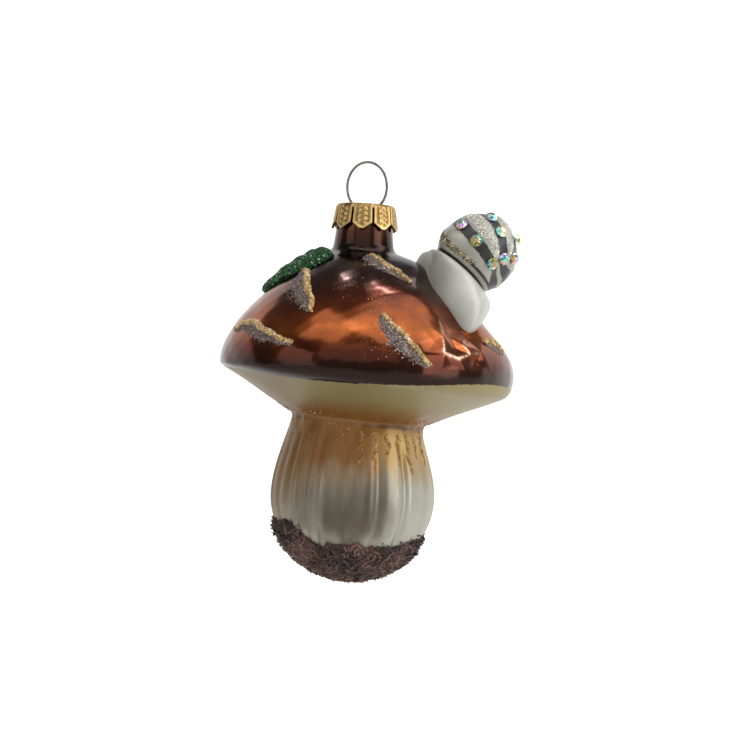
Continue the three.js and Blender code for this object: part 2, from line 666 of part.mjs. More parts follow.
/** Point of the shell at a share of the way from pole to pole and an angle round the coil's axis. */
function shellSkin(share, angle) {
  const turn = degToRad(angle);
  const tip = Math.PI * share;
  const away = euclideanModulo(angle - WHORL_ANGLE + 180, 360) - 180;
  const swell = WHORL_SWELL * Math.exp(-((away / WHORL_SPREAD) ** 2)) * smoothstep(share, ...WHORL_SPAN);
  const lift = (lobeHeight(angle) + swell) * Math.sin(tip) ** 2;
  const radius = (SHELL_DIAMETER / 2 + lift) * Math.sin(tip);
  const navel = NAVEL_DEPTH * Math.exp(-((radius / NAVEL_RADIUS) ** 2));
  const height = (SHELL_BREADTH / 2 - navel) * Math.cos(tip);
  return new THREE.Vector3(radius * Math.cos(turn), radius * Math.sin(turn), height).applyMatrix4(coilFrame);
}

/** Ribbed shell of the snail, flat where it sits on the body. */
function snailShell() {
  const rings = [];
  const steps = SHELL_STRIPES * STRIPE_STEPS;
  for (let ring = 1; ring < SHELL_RINGS; ring += 1) {
    rings.push(Array.from({ length: steps }, (_, i) => shellSkin(ring / SHELL_RINGS, (360 / steps) * i)));
  }
  const solid = solidOf(ringSolid(shellSkin(0, 0), rings, shellSkin(1, 0)));
  return geometryOf(solid.subtract(jointBlock(-1)));
}

/** Flat-backed stone glued on a dark stripe of the shell. */
function rhinestone(angle, pole) {
  const profile = [
    at(0, 0),
    at(STONE_DIAMETER / 2, 0),
    at(STONE_DIAMETER / 2, STONE_GIRDLE),
    at(STONE_TABLE / 2, STONE_HEIGHT),
    at(0, STONE_HEIGHT),
  ];
  const stone = closedFrom(new THREE.LatheGeometry(profile, STONE_FACETS));
  const seat = surfaceFrame(shellSkin, pole / 180, angle);
  const upright = new THREE.Matrix4().makeRotationX(Math.PI / 2).setPosition(0, 0, GLUE_GAP);
  return stone.applyMatrix4(upright).applyMatrix4(seat);
}

/** Place on the glass a distance beside a path, on the right of its travel as seen from outside. */
function beside(stretch, path, along, distance) {
  const place = path.getPoint(along);
  const travel = path.getTangent(along);
  const here = glassSkin(stretch, place.y, place.x);
  const inside = place.y < 0.5 ? SHARE_STEP : -SHARE_STEP;
  const perDegree = glassSkin(stretch, place.y, place.x + ANGLE_STEP).distanceTo(here) / ANGLE_STEP;
  const perShare = glassSkin(stretch, place.y + inside, place.x).distanceTo(here) / SHARE_STEP;
  const way = at(travel.x * perDegree, travel.y * perShare).normalize();
  return at(place.x - (way.y * distance) / perDegree, place.y + (way.x * distance) / perShare);
}

/** Plate that follows the glass along a path, with its sides and its height given along and across it. */
function plateOnGlass(stretch, path, { steps, columns, left, right, height }) {
  const sheet = (raised) =>
    Array.from({ length: steps + 1 }, (_, i) => {
      const along = i / steps;
      return Array.from({ length: columns + 1 }, (__, j) => {
        const across = j / columns;
        const distance = lerp(left(along), right(along), across);
        const place = beside(stretch, path, along, distance);
        const lift = GLUE_GAP + (raised ? height(along, across) : 0);
        return above(stretch, place.y, place.x, lift);
      });
    });
  return plateSolid(sheet(false), sheet(true));
}

const pathOf = (points) => new THREE.SplineCurve(points.map(([angle, share]) => at(angle, share)));

/** Bead of gold glitter, rounded across and thinner at its two ends. */
function goldBead(stretch, points, width, crest, steps) {
  const ends = (along) => lerp(BEAD_END, 1, Math.sin(Math.PI * along));
  return plateOnGlass(stretch, pathOf(points), {
    steps,
    columns: BEAD_COLUMNS,
    left: (along) => (-width / 2) * ends(along),
    right: (along) => (width / 2) * ends(along),
    height: (along, across) => crest * ends(along) * lerp(BEAD_EDGE, 1, Math.sin(Math.PI * across)),
  });
}

/** Patch of grey glitter below a crack's gold edge. */
function crackPatch({ path, width, peak }) {
  const skew = Math.log(0.5) / Math.log(peak);
  const near = GOLD_WIDTH / 2 + GLUE_GAP;
  return plateOnGlass('dome', pathOf(path), {
    steps: PATCH_STEPS,
    columns: PATCH_COLUMNS,
    left: () => near,
    right: (along) => near + lerp(PATCH_END, PATCH_WIDTH * width, Math.sin(Math.PI * along ** skew)),
    height: () => PATCH_HEIGHT,
  });
}

/** Leaf, thickest near the neck, with a groove along its middle. */
function leaf() {
  const half = (along) => (LEAF_WIDTH / 2) * lerp(LEAF_STALK, 1, Math.sin(Math.PI * along) ** LEAF_ROUNDNESS);
  const swell = (along) => lerp(LEAF_END, 1, Math.sin(Math.PI * Math.sqrt(along)));
  return plateOnGlass('dome', pathOf(LEAF_PATH), {
    steps: LEAF_STEPS,
    columns: LEAF_COLUMNS,
    left: (along) => -half(along),
    right: half,
    height: (along, across) => {
      const crest = LEAF_THICKNESS * lerp(LEAF_EDGE, 1, Math.sin(Math.PI * across));
      const groove = across === 0.5 ? LEAF_MIDRIB : 0;
      return swell(along) * (crest - groove);
    },
  });
}

/** Share of the foot's outline that lies at a height above the bottom. */
function footShare(height) {
  let low = 0;
  let high = 1;
  for (let i = 0; i < CRUST_SEARCHES; i += 1) {
    const middle = (low + high) / 2;
    if (outline.foot.getPoint(middle).y - footZ > height) {
      low = middle;
    } else {
      high = middle;
    }
  }
  return low;
}

/** Height of the crust's upper edge above the bottom, at an angle round the stem. */
function crustEdge(angle) {
  const turn = degToRad(angle);
  const left = CRUST_LEFT_RISE * smoothstep(-Math.cos(turn), ...CRUST_LEFT_SPAN);
  const right = CRUST_RIGHT_RISE * smoothstep(Math.cos(turn), ...CRUST_RIGHT_SPAN);
  return CRUST_HEIGHT + left + right + CRUST_RIPPLE * Math.sin(CRUST_RIPPLES * turn);
}

/** Crust of soil flakes round the foot, with a waving upper edge and a lumpy face. */
function soilCrust() {
  const ring = (level, height) =>
    Array.from({ length: ROUND_STEPS }, (_, i) => {
      const angle = (360 / ROUND_STEPS) * i;
      const share = lerp(footShare(crustEdge(angle)), 1, level / CRUST_RINGS);
      return above('foot', share, angle, GLUE_GAP + height(level, i));
    });
  const face = (level, i) => {
    const full = lerp(CRUST_EDGE, CRUST_THICKNESS, Math.min(level / 2, 1));
    const beat = CRUST_LUMP_BEAT[0] * i + CRUST_LUMP_BEAT[1] * level;
    const lump = CRUST_LUMP * Math.sin(beat) * (1 - level / CRUST_RINGS);
    return level > 0 ? full + lump : full;
  };
  const inner = Array.from({ length: CRUST_RINGS }, (_, level) => ring(level, () => 0));
  const outer = Array.from({ length: CRUST_RINGS }, (_, level) => ring(level, face));
  const innerPole = new THREE.Vector3(STEM_OFFSET, 0, footZ - GLUE_GAP);
  const outerPole = new THREE.Vector3(STEM_OFFSET, 0, footZ - GLUE_GAP - CRUST_THICKNESS);
  return ringSolid(innerPole, [...inner.reverse(), ...outer], outerPole);
}

/** Material of a piece. */
function finish(color, roughness, metalness) {
  return new THREE.MeshStandardMaterial({ color, roughness, metalness });
}

const finishes = {
  lacqueredGlass: finish(0x7a3a1c, 0.15, 0.7),
  stampedBrass: finish(0xb59a55, 0.3, 1),
  springSteel: finish(0x4a4a46, 0.35, 1),
  pearlGrey: finish(0xa9a8a2, 0.5, 0),
  stripedGrey: finish(0x8f8d85, 0.4, 0.1),
  crystal: finish(0xb7b0c8, 0.05, 0.2),
  greenGlitter: finish(0x24663a, 0.5, 0.4),
  greyGlitter: finish(0x6f6660, 0.6, 0.3),
  goldGlitter: finish(0xb98f45, 0.5, 0.6),
  soil: finish(0x4a3430, 0.9, 0),
};

const ornament = new THREE.Group();
const number = (i) => String(i + 1).padStart(2, '0');

/** Adds a named piece to the ornament. */
function add(name, geometry, material) {
  const piece = new THREE.Mesh(geometry, material);
  piece.name = name;
  ornament.add(piece);
}

add('mushroom_glass', mushroomGlass(), finishes.lacqueredGlass);
add('crown', crown(), finishes.stampedBrass);
add('hanger_wire', hangerWire(), finishes.springSteel);
add('snail_body', snailBody(), finishes.pearlGrey);
add('snail_shell', snailShell(), finishes.stripedGrey);
add('leaf', leaf(), finishes.greenGlitter);
add('soil_crust', soilCrust(), finishes.soil);

CRACKS.forEach((crack, i) => {
  add(`crack_${number(i)}`, crackPatch(crack), finishes.greyGlitter);
  const edge = goldBead('dome', crack.path, GOLD_WIDTH, GOLD_HEIGHT, EDGE_STEPS);
  add(`gold_edge_${number(i)}`, edge, finishes.goldGlitter);
});

const stonePlaces = STONE_ROWS.flatMap(({ stripe, poles }) => poles.map((pole) => [stripe, pole]));
stonePlaces.forEach(([stripe, pole], i) => {
  add(`rhinestone_${number(i)}`, rhinestone((360 / SHELL_STRIPES) * stripe, pole), finishes.crystal);
});

const runAngles = RUN_GROUPS.flatMap(({ first, count }) =>
  Array.from({ length: count }, (_, i) => first + RUN_PITCH * i),
);
runAngles.forEach((angle, i) => {
  const end = RUN_TOP + RUN_REACH + RUN_RAGGED * Math.sin(RUN_BEAT * i);
  const middle = [angle + RUN_SWAY * Math.sin(i), (RUN_TOP + end) / 2];
  const points = [[angle, RUN_TOP], middle, [angle, end]];
  const run = goldBead('stem', points, RUN_WIDTH, RUN_HEIGHT, RUN_STEPS);
  add(`gold_run_${number(i)}`, run, finishes.goldGlitter);
});

export default ornament;
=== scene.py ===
"""Looks of a mushroom Christmas ornament of blown glass with a snail on its cap.

Sizes are millimetres and angles degrees, as in the part's source, until a mesh is made in metres.
Angles round the axis go from +X towards +Y, so the front is at -90.
"""
import math

import bmesh
import bpy
import numpy as np
from bpy.props import FloatProperty, FloatVectorProperty, IntProperty, PointerProperty
from mathutils import Matrix, Vector
from mathutils.geometry import delaunay_2d_cdt


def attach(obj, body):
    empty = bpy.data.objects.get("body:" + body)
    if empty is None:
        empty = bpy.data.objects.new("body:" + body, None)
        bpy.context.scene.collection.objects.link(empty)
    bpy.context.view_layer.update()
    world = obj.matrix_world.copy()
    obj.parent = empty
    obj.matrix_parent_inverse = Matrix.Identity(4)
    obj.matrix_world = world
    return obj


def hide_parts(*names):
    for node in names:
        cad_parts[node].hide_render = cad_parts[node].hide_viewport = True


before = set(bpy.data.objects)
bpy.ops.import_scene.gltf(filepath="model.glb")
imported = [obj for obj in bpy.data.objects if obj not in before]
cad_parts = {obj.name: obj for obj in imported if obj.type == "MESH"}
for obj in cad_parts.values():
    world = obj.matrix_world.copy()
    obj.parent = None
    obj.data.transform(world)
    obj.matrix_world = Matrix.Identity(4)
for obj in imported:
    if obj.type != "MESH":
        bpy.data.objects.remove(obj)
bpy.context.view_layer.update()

bl_info = {
    "name": "Mushroom ornament",
    "version": (1, 0, 0),
    "blender": (4, 5, 0),
    "location": "View3D > Sidebar > Ornament",
    "description": "Builds the looks of a blown glass mushroom ornament round its solids",
    "category": "Add Mesh",
}

# Units, steps along a surface, and kinds of sockets by their first values
MM = 0.001
PER_MM2 = 1e6
SHARE_STEP = 0.001
ANGLE_STEP = 0.1
SOCKET_KINDS = {float: "Float", int: "Int", bool: "Bool", tuple: "Vector"}

# Levels of the ornament, from the hanging point down
CROWN_TOP = -9.8
NECK_TOP = -10.45
NECK_FOOT = -21.05
RIM = -48.4
LIP = -52.6
STEM_TOP = -61.0
BULGE = -79.4
FOOT = -98.0

# Hanger wire
LOOP_HALF_WIDTH = 4.7
LOOP_CLOSE = 125
LEG_SLOT = 3.325
LEG_BORE = 4.525
LEG_BEND = -14.2
LEG_TIP = -24.8
LEG_CURL = 1.3
WIRE_SIDES = 14

# Crown
CROWN_WALL = 0.35
CROWN_BOTTOM = -16.0
CROWN_SHOULDER = 0.8
CROWN_TOP_RADIUS = 6.75
CROWN_MOUTH_RADIUS = 7.78
CROWN_EYE = 0.6
CROWN_INSET = 0.04
CROWN_STEPS = 108
PETALS = 9
PETAL_TURN = 5
PETAL_SLIT = 0.45
PETAL_POINT = 1.5
PETAL_TIP = 0.8
PETAL_START = 0.15
PETAL_GRID = (52, 32)
BOSSES = 9
BOSS_ASIDE = 0.78
BOSS_PITCH = 0.6
BOSS_RADIUS = 0.42
SLOT_HALF_WIDTH = 0.575
SLOT_REACH = 0.325
SLOT_CUT = 1
SLOT_STEPS = 10
SLIT_TOP = CROWN_TOP - CROWN_SHOULDER - CROWN_WALL

# Blown glass
GLASS_WALL = 1
NECK_RIM_RADIUS = 6.1
NECK_FOOT_RADIUS = 7.3
NECK_FILLET = 1.6
DOME_SLOPE = 26
DOME_SHOULDER = 11.5
DOME_BROW = 10.4
CAP_RADIUS = 35
CAP_OFFSET = 2.6
RIM_TUCK = 2.5
RIM_FULLNESS = 0.55
LIP_FULLNESS = 0.7
UNDERSIDE_TILT = 2.9
CREASE_FILLET = 1.1
CREASE_LUMPS = 0.26
CREASE_SPREAD = 2.2
LACQUER_EDGE = -50.2
STEM_TOP_RADIUS = 15.4
STEM_RADIUS = 19.5
STEM_OFFSET = 1
STEM_LEAN = 11
STEM_TOP_FULLNESS = 0.25
STEM_SIDE_FULLNESS = 0.35
FOOT_SIDE_FULLNESS = 0.5
FOOT_BASE_FULLNESS = 0.57
ROUND_STEPS = 256
FOLD_ANGLES = (290, 330)
FOLD_STEP = 0.5
OUTER_RINGS = {
    "neck": 12, "fillet": 8, "dome": 84, "rim": 22, "underside": 20, "crease": 10, "stem": 44, "foot": 30,
}
INNER_RINGS = {
    "neck": 4, "fillet": 3, "dome": 14, "rim": 6, "underside": 5, "crease": 3, "stem": 9, "foot": 8,
}
GROOVE_FADE = (2, 12)

# Grooves of the stem: angle, half width in degrees, depth, and share of the stem where each is full
STEM_GROOVES = [
    (-153, 3.0, 0.35, 0.6), (-141, 2.4, 0.4, 0.5), (-133, 2.2, 0.45, 0.5), (-125, 2.2, 0.5, 0.55),
    (-117.5, 2.8, 0.7, 0.6), (-97, 2.6, 0.4, 0.4), (-71, 3.6, 0.9, 0.7), (-50, 3.2, 0.7, 0.6),
    (-29, 4.0, 0.5, 0.6), (-7, 3.6, 0.6, 0.6), (14, 3.0, 0.5, 0.5), (33, 4.0, 0.7, 0.6),
    (52, 2.8, 0.5, 0.5), (64, 2.6, 0.5, 0.55), (83, 4.0, 0.8, 0.7), (104, 3.0, 0.5, 0.5),
    (122, 3.4, 0.6, 0.6), (139, 2.6, 0.5, 0.5), (151, 2.6, 0.5, 0.55), (172, 3.8, 0.7, 0.6),
    (191, 3.0, 0.5, 0.6),
]

# Painted dark reflections on the silver of the stem: middle, half width and half height, strength
PAINTED_REFLECTIONS = [
    ((-1, -19, -84), (11, 10), 0.9), ((8, -18, -81), (5, 10), 0.7), ((-10, -17, -82), (5, 9), 0.5),
    ((-18, 8, -82), (9, 9), 0.6), ((6, 19, -84), (11, 10), 0.8), ((19, 7, -80), (7, 9), 0.5),
]
# How far below the stem's top the painted crease shade lies
CREASE_SHADE_SINK = 0.6

# Swells and hollows of the cap: angle and share of the dome's outline, height, spread
CAP_SWELLS = [
    (178, 0.58, -1.08, 9), (-22, 0.16, 1.2, 6), (-44, 0.68, -1.2, 5.4), (-60, 0.46, 0.78, 6),
    (-4, 0.68, -1.62, 6),
]

# Crumpled glass under the snail: corners of its flat facets as angle, share and height
CRUMPLE = [
    (-67, 0.62, 0), (-60, 0.5, 0), (-51, 0.55, 0), (-43, 0.66, 0), (-33, 0.74, 0), (-31, 0.87, 0),
    (-35, 0.985, 0), (-48, 1, 0), (-62, 1, 0), (-68, 0.88, 0), (-69, 0.75, 0),
    (-55, 0.64, 0.3), (-57.5, 0.75, 0.45), (-52.5, 0.73, -0.3), (-47.5, 0.78, 0.5), (-42, 0.74, -0.35),
    (-39.5, 0.833, 0.4), (-46, 0.855, 0.4), (-52.5, 0.82, -0.45), (-59.5, 0.87, 0.4), (-53, 0.895, 0.35),
    (-55.5, 0.95, -0.25), (-44, 0.92, -0.35), (-50, 0.975, 0.1), (-62.5, 0.79, -0.15),
]
CRUMPLE_ASPECT = 69
# Painted highlights along the sharpest folds of the crumple: pairs of its corners, and the width of a line
HIGHLIGHT_LINES = [(11, 12), (12, 19), (14, 17), (19, 20), (20, 17), (17, 16)]
HIGHLIGHT_WIDTH = 0.4

# Snail
SNAIL_ANGLE = -21
SNAIL_SHARE = 0.36
JOINT_RISE = 1
JOINT_STAND = 4
JOINT_GAP = 0.05
SEAT_RADIUS = 7.6
FOOT_EDGE = [
    (-7, 0.108), (-25.5, 0.209), (-37, 0.325), (-42, 0.448), (-42, 0.553), (-40.5, 0.66),
    (-36, 0.685), (-25, 0.63), (-11, 0.55), (3, 0.44), (15, 0.34), (21, 0.2),
]
BODY_SHOULDER = 0.38
BODY_WALL = 4.6
BODY_FLARE = 0.8
BODY_SINK = 0.2
BODY_GRID = (160, 10, 44, 12)
SHELL_LEAN = 22
SHELL_UPHILL = 0.5
SHELL_DIAMETER = 18.8
SHELL_BREADTH = 18
SHELL_TRIM = 2.75
SHELL_STRIPES = 8
STRIPE_HALF_ANGLE = 9.5
LOBE_HEIGHT = 0.55
WHORL_SWELL = 1.5
WHORL_ANGLE = 35
WHORL_SPREAD = 19
WHORL_SPAN = (0.4, 0.7)
NAVEL_RADIUS = 2.4
NAVEL_DEPTH = 0.8
COIL_AXIS = (0.93, -0.32, -0.2)
FIRST_STRIPE = (-0.31, -0.95, 0.06)
STRIPE_DRIFT = 0.8
STRIPE_DRIFT_WAY = 165
STRIPE_POLE = 0.55
GLITTER_CLEAR = 0.9
STONE_ROWS = {0: (26, 67, 104), -1: (26, 66, 95), -2: (34, 68), -3: (72, 108), -4: (66, 104)}
STONE_SEAT = 0.12
STONE_SIDES = 8

# Rings of a stone: turn in steps, shares of its radius and of its height
STONE_RINGS = [(0, 1, 0), (0, 1, 0.25), (0.5, 0.78, 0.68), (0, 0.46, 1)]
STONE_FLASHES = [
    (0.0, "5fc4a6"), (0.13, "d5f5e0"), (0.26, "d8d873"), (0.4, "55522a"), (0.52, "dca878"),
    (0.64, "c996e2"), (0.76, "f4e8fa"), (0.88, "7d9ad8"), (1.0, "5fc4a6"),
]

# Leaf
LEAF_PATH = [(208, 0.02), (197, 0.2), (186, 0.43)]
LEAF_WIDTH = 12.4
LEAF_THICKNESS = 1.9
LEAF_GRID = (60, 44)

# Glue under the glitter
PLATE_SINK = 0.12
GOLD_WIDTH = 1.1
GOLD_HEIGHT = 0.6
PATCH_HEIGHT = 0.3
PATCH_END = 0.4
PATCH_LAP = 0.1
PATCH_GRID = (80, 16)
BEAD_SWAY = 0.2
GRAIN_FLATNESS = 0.4

# Cracks: path of the gold edge as angle and share, width of the grey patch, and where it is widest
CRACKS = [
    ([(-158, 0.78), (-148, 0.72), (-135, 0.78), (-120, 0.86)], 2.76, 0.5),
    ([(-142, 0.26), (-131, 0.32), (-119, 0.5), (-115, 0.62)], 4.6, 0.45),
    ([(-79, 0.03), (-69, 0.14), (-63, 0.22), (-57, 0.33)], 2.99, 0.3),
    ([(-82, 0.61), (-78, 0.71), (-72, 0.83), (-66, 0.97)], 4.14, 0.5),
    ([(-33, 0.76), (-29, 0.76), (-25, 0.79), (-21, 0.83)], 2.07, 0.5),
    ([(22, 0.72), (31, 0.69), (42, 0.76), (55, 0.84)], 2.53, 0.45),
    ([(58, 0.15), (66, 0.23), (72, 0.33), (74, 0.44)], 2.76, 0.35),
    ([(80, 0.55), (85, 0.66), (92, 0.78), (99, 0.9)], 3.45, 0.45),
    ([(126, 0.67), (136, 0.63), (148, 0.7), (161, 0.8)], 2.53, 0.45),
]

# Runs of gold glitter on the stem
RUN_GROUPS = [(-85, 7), (95, 5)]
RUN_PITCH = 10.6
RUN_WIDTH = 0.8
RUN_HEIGHT = 0.3
RUN_TOP = 0.08
RUN_REACH = 0.46
RUN_RAGGED = 0.12
RUN_BEAT = 2.1

# Soil crust
CRUST_THICKNESS = 1.3
CRUST_EDGE = 0.25
CRUST_SINK = 0.1
CRUST_HEIGHT = 8
CRUST_RINGS = 40
CRUST_STEPS = 192
FRINGE_HEIGHT = 1.4
FRINGE_ROWS = 8
FLAKE_SHAPE = (0.5, 0.15, 0.06)

# Seeds of what is scattered
SEED_SOIL = 3
SEED_STONES = 5
SEED_GREY = 11
SEED_GOLD = 17
SEED_LEAF = 23
SEED_SHELL = 29
SEED_RUNS = 31
SEED_DUST = 37

# Camera: as in the photograph, tilted by the ornament's lean in it
CAMERA_PLACE = (0.0046, -0.6, -0.05015)
CAMERA_ROLL = 3.5
CAMERA_LENS = 121

# Backdrop, in millimetres
SWEEP_WALL = 75
SWEEP_TOP = 70
SWEEP_BEND = 60
SWEEP_FLOOR = -165
SWEEP_FRONT = -900
SWEEP_HALF_WIDTH = 700

# Lamps, in metres: name, place, width, height, and the setting for their power
LAMP_AIM = (0.003, 0.0, -0.05)
LAMPS = [
    ("key", (0.14, -0.10, 0.42), 0.5, 0.34, "key_watts"),
    ("side", (0.48, -0.30, 0.02), 0.32, 0.42, "side_watts"),
    ("fill", (-0.48, -0.32, 0.0), 0.3, 0.4, "fill_watts"),
    ("front", (-0.04, -0.42, 0.18), 0.5, 0.26, "front_watts"),
    ("overhead", (-0.2, -0.2, 0.42), 0.3, 0.3, "overhead_watts"),
    ("window", (0.37, -0.09, 0.23), 0.24, 0.28, "window_watts"),
    ("pane_left", (-0.06, 0.15, 0.36), 0.03, 0.022, "pane_watts"),
    ("pane_right", (0.04, 0.11, 0.38), 0.03, 0.022, "pane_watts"),
]
ROOM_LEVEL = 0.17

# Colours that are not among the settings
WHITE = (1.0, 1.0, 1.0, 1.0)
# Colour of the painted glint on the brightest grains of glitter
GLINT = (1.0, 0.97, 0.9, 1.0)
STEEL_SHADE = (0.12, 0.12, 0.115, 1.0)
PEARL_SHADE = (0.2, 0.19, 0.16, 1.0)
SHELL_SHADE = (0.1, 0.09, 0.08, 1.0)
BACKDROP_SHADE = (0.8, 0.8, 0.8, 1.0)


def paint(code):
    """Linear colour with full cover, from a six-figure screen colour."""
    screen = [int(code[i:i + 2], 16) / 255 for i in (0, 2, 4)]
    return tuple(c / 12.92 if c <= 0.04045 else ((c + 0.055) / 1.055) ** 2.4 for c in screen) + (1.0,)


def colour_prop(name, description, code):
    """Property for a colour that a user may change."""
    return FloatVectorProperty(
        name=name, description=description, subtype="COLOR", size=4, min=0, max=1, default=paint(code))


def length_prop(name, description, millimetres):
    """Property for a length that a user may change."""
    return FloatProperty(
        name=name, description=description, subtype="DISTANCE", unit="LENGTH", min=0, precision=5,
        default=millimetres * MM)


def share_prop(name, description, value):
    """Property for a share between nothing and all."""
    return FloatProperty(name=name, description=description, subtype="FACTOR", min=0, max=1, default=value)


def watts_prop(name, description, watts):
    """Property for the power of a lamp."""
    return FloatProperty(name=name, description=description, unit="POWER", default=watts)


class GlassLook(bpy.types.PropertyGroup):
    """Lacquer of the blown glass, with the light and shade painted on it."""

    cap_neck: colour_prop("Cap neck", "Lacquer on the neck", "6e3a22")
    # Dark lacquer, laid at the neck and the rim partly as painted shade.
    cap_dark: colour_prop("Cap dark", "Lacquer at the neck and the rim", "291b16")
    cap_rust: colour_prop("Cap rust", "Lacquer on the shoulders of the cap", "612814")
    # Copper lacquer, laid on the brow partly as a painted highlight.
    cap_copper: colour_prop("Cap copper", "Lacquer on the brow of the cap", "a95722")
    # Painted highlight along the folds of the cap.
    cap_worn: colour_prop("Cap worn", "Silver that shows through on the folds of the cap", "e8c2a6")
    gill_cream: colour_prop("Gill cream", "Lacquer under the rim", "887b53")
    gill_ochre: colour_prop("Gill ochre", "Lacquer under the cap near the stem", "7e5526")
    stem_amber: colour_prop("Stem amber", "Sprayed tint at the top of the stem", "885f2a")
    stem_silver: colour_prop("Stem silver", "Frosted silver of the stem", "a3a193")
    # Painted light: a paler straw tint on the right side of the stem.
    stem_painted_light: colour_prop("Stem straw", "Thin tint on the right of the stem", "bda35e")
    # Painted shade: a darker tint on the left of the stem and under the left of the cap.
    stem_painted_shade: colour_prop("Stem shade", "Thick tint on the left, under the cap and on the stem", "66502c")
    stem_rust: colour_prop("Stem rust", "Red streaks in the tint of the stem", "7f4d24")
    # Painted shade in the crease under the cap.
    stem_crease_shade: colour_prop("Stem pool", "Tint that has run into the crease under the cap", "4f2f10")
    # Painted dark reflection on the silver of the stem.
    stem_reflection_dark: colour_prop("Stem smoke", "Thin places in the silver of the stem", "4a4131")
    cap_roughness: share_prop("Cap roughness", "Roughness of the glossy lacquer", 0.18)
    stem_roughness: share_prop("Stem roughness", "Roughness of the frosted lacquer", 0.4)
    ripple: length_prop("Ripple", "Unevenness of the blown cap", 0.18)


class MetalLook(bpy.types.PropertyGroup):
    """Crown and hanger."""

    brass: colour_prop("Brass", "Stamped metal of the crown", "d4b679")
    brass_shade: colour_prop("Brass shade", "Tarnish in the hollows of the crown", "6f481c")
    steel: colour_prop("Steel", "Wire of the hanger", "8c8c86")
    wire_diameter: length_prop("Wire diameter", "Thickness of the hanger's wire", 0.65)
    emboss: length_prop("Emboss", "Height of the stamped pattern", 0.2)


class SnailLook(bpy.types.PropertyGroup):
    """Snail on the cap."""

    pearl: colour_prop("Pearl", "Body of the snail", "babab4")
    shell_grey: colour_prop("Shell grey", "Light lobes of the shell", "a8a69b")
    shell_black: colour_prop("Shell black", "Dark stripes of the shell", "1d1b1a")
    silver: colour_prop("Silver", "Glitter on the shell", "d3d1c4")
    stone_diameter: length_prop("Stone diameter", "Width of a glued stone", 3.0)
    stone_height: length_prop("Stone height", "Height of a glued stone", 1.15)


class GlitterLook(bpy.types.PropertyGroup):
    """Glitter on the cap and the stem."""

    gold: colour_prop("Gold", "Bright grains of the gold edges", "eed29a")
    gold_shade: colour_prop("Gold shade", "Dark grains of the gold edges", "977238")
    grey: colour_prop("Grey", "Bright grains in the cracks", "a3918a")
    grey_shade: colour_prop("Grey shade", "Dark grains in the cracks", "483731")
    green: colour_prop("Green", "Bright grains of the leaf", "2a7a3c")
    green_shade: colour_prop("Green shade", "Dark grains of the leaf", "061a0b")
    grain_size: length_prop("Grain size", "Radius of a grain of glitter", 0.16)


class SoilLook(bpy.types.PropertyGroup):
    """Soil crust on the foot."""

    soil_dark: colour_prop("Soil dark", "Dark flakes", "1c1110")
    soil_light: colour_prop("Soil light", "Light flakes", "7d5c52")
    flake_length: length_prop("Flake length", "Length of a flake", 1.25)
    flakes: IntProperty(name="Flakes", description="Flakes on each square centimetre", min=0, default=230)


class StageLook(bpy.types.PropertyGroup):
    """Backdrop and light."""

    backdrop: colour_prop("Backdrop", "Floor and wall behind the ornament", "f4f4f2")
    key_watts: watts_prop("Key", "Large lamp above", 1.0)
    side_watts: watts_prop("Side", "Lamp on the right", 1.1)
    overhead_watts: watts_prop("Overhead", "Softer lamp above on the left", 0.43)
    fill_watts: watts_prop("Fill", "Lamp on the left", 0.46)
    front_watts: watts_prop("Front", "Low wide lamp in front", 0.24)
    window_watts: watts_prop("Window", "Bright window on the right", 0.6)
    pane_watts: watts_prop("Panes", "Small window panes above", 0.06)


LOOKS = {
    "glass": GlassLook, "metal": MetalLook, "snail": SnailLook, "glitter": GlitterLook, "soil": SoilLook,
    "stage": StageLook,
}


class OrnamentLook(bpy.types.PropertyGroup):
    """All that a user may change."""

    glass: PointerProperty(type=GlassLook)
    metal: PointerProperty(type=MetalLook)
    snail: PointerProperty(type=SnailLook)
    glitter: PointerProperty(type=GlitterLook)
    soil: PointerProperty(type=SoilLook)
    stage: PointerProperty(type=StageLook)


def smoothstep(value, low, high):
    """Smooth rise from nothing at low to one at high."""
    share = np.clip((value - low) / (high - low), 0, 1)
    return share * share * (3 - 2 * share)


def lerp(start, end, share):
    """Value at a share of the way between two others."""
    return start + (end - start) * share


def unit(vector):
    """Vectors of length one."""
    return vector / np.linalg.norm(vector, axis=-1, keepdims=True)


def onward(start, length, degrees_down):
    """Point at a length from another, along a direction below the level."""
    turn = math.radians(degrees_down)
    return np.array([start[0] + length * math.cos(turn), start[1] - length * math.sin(turn)])


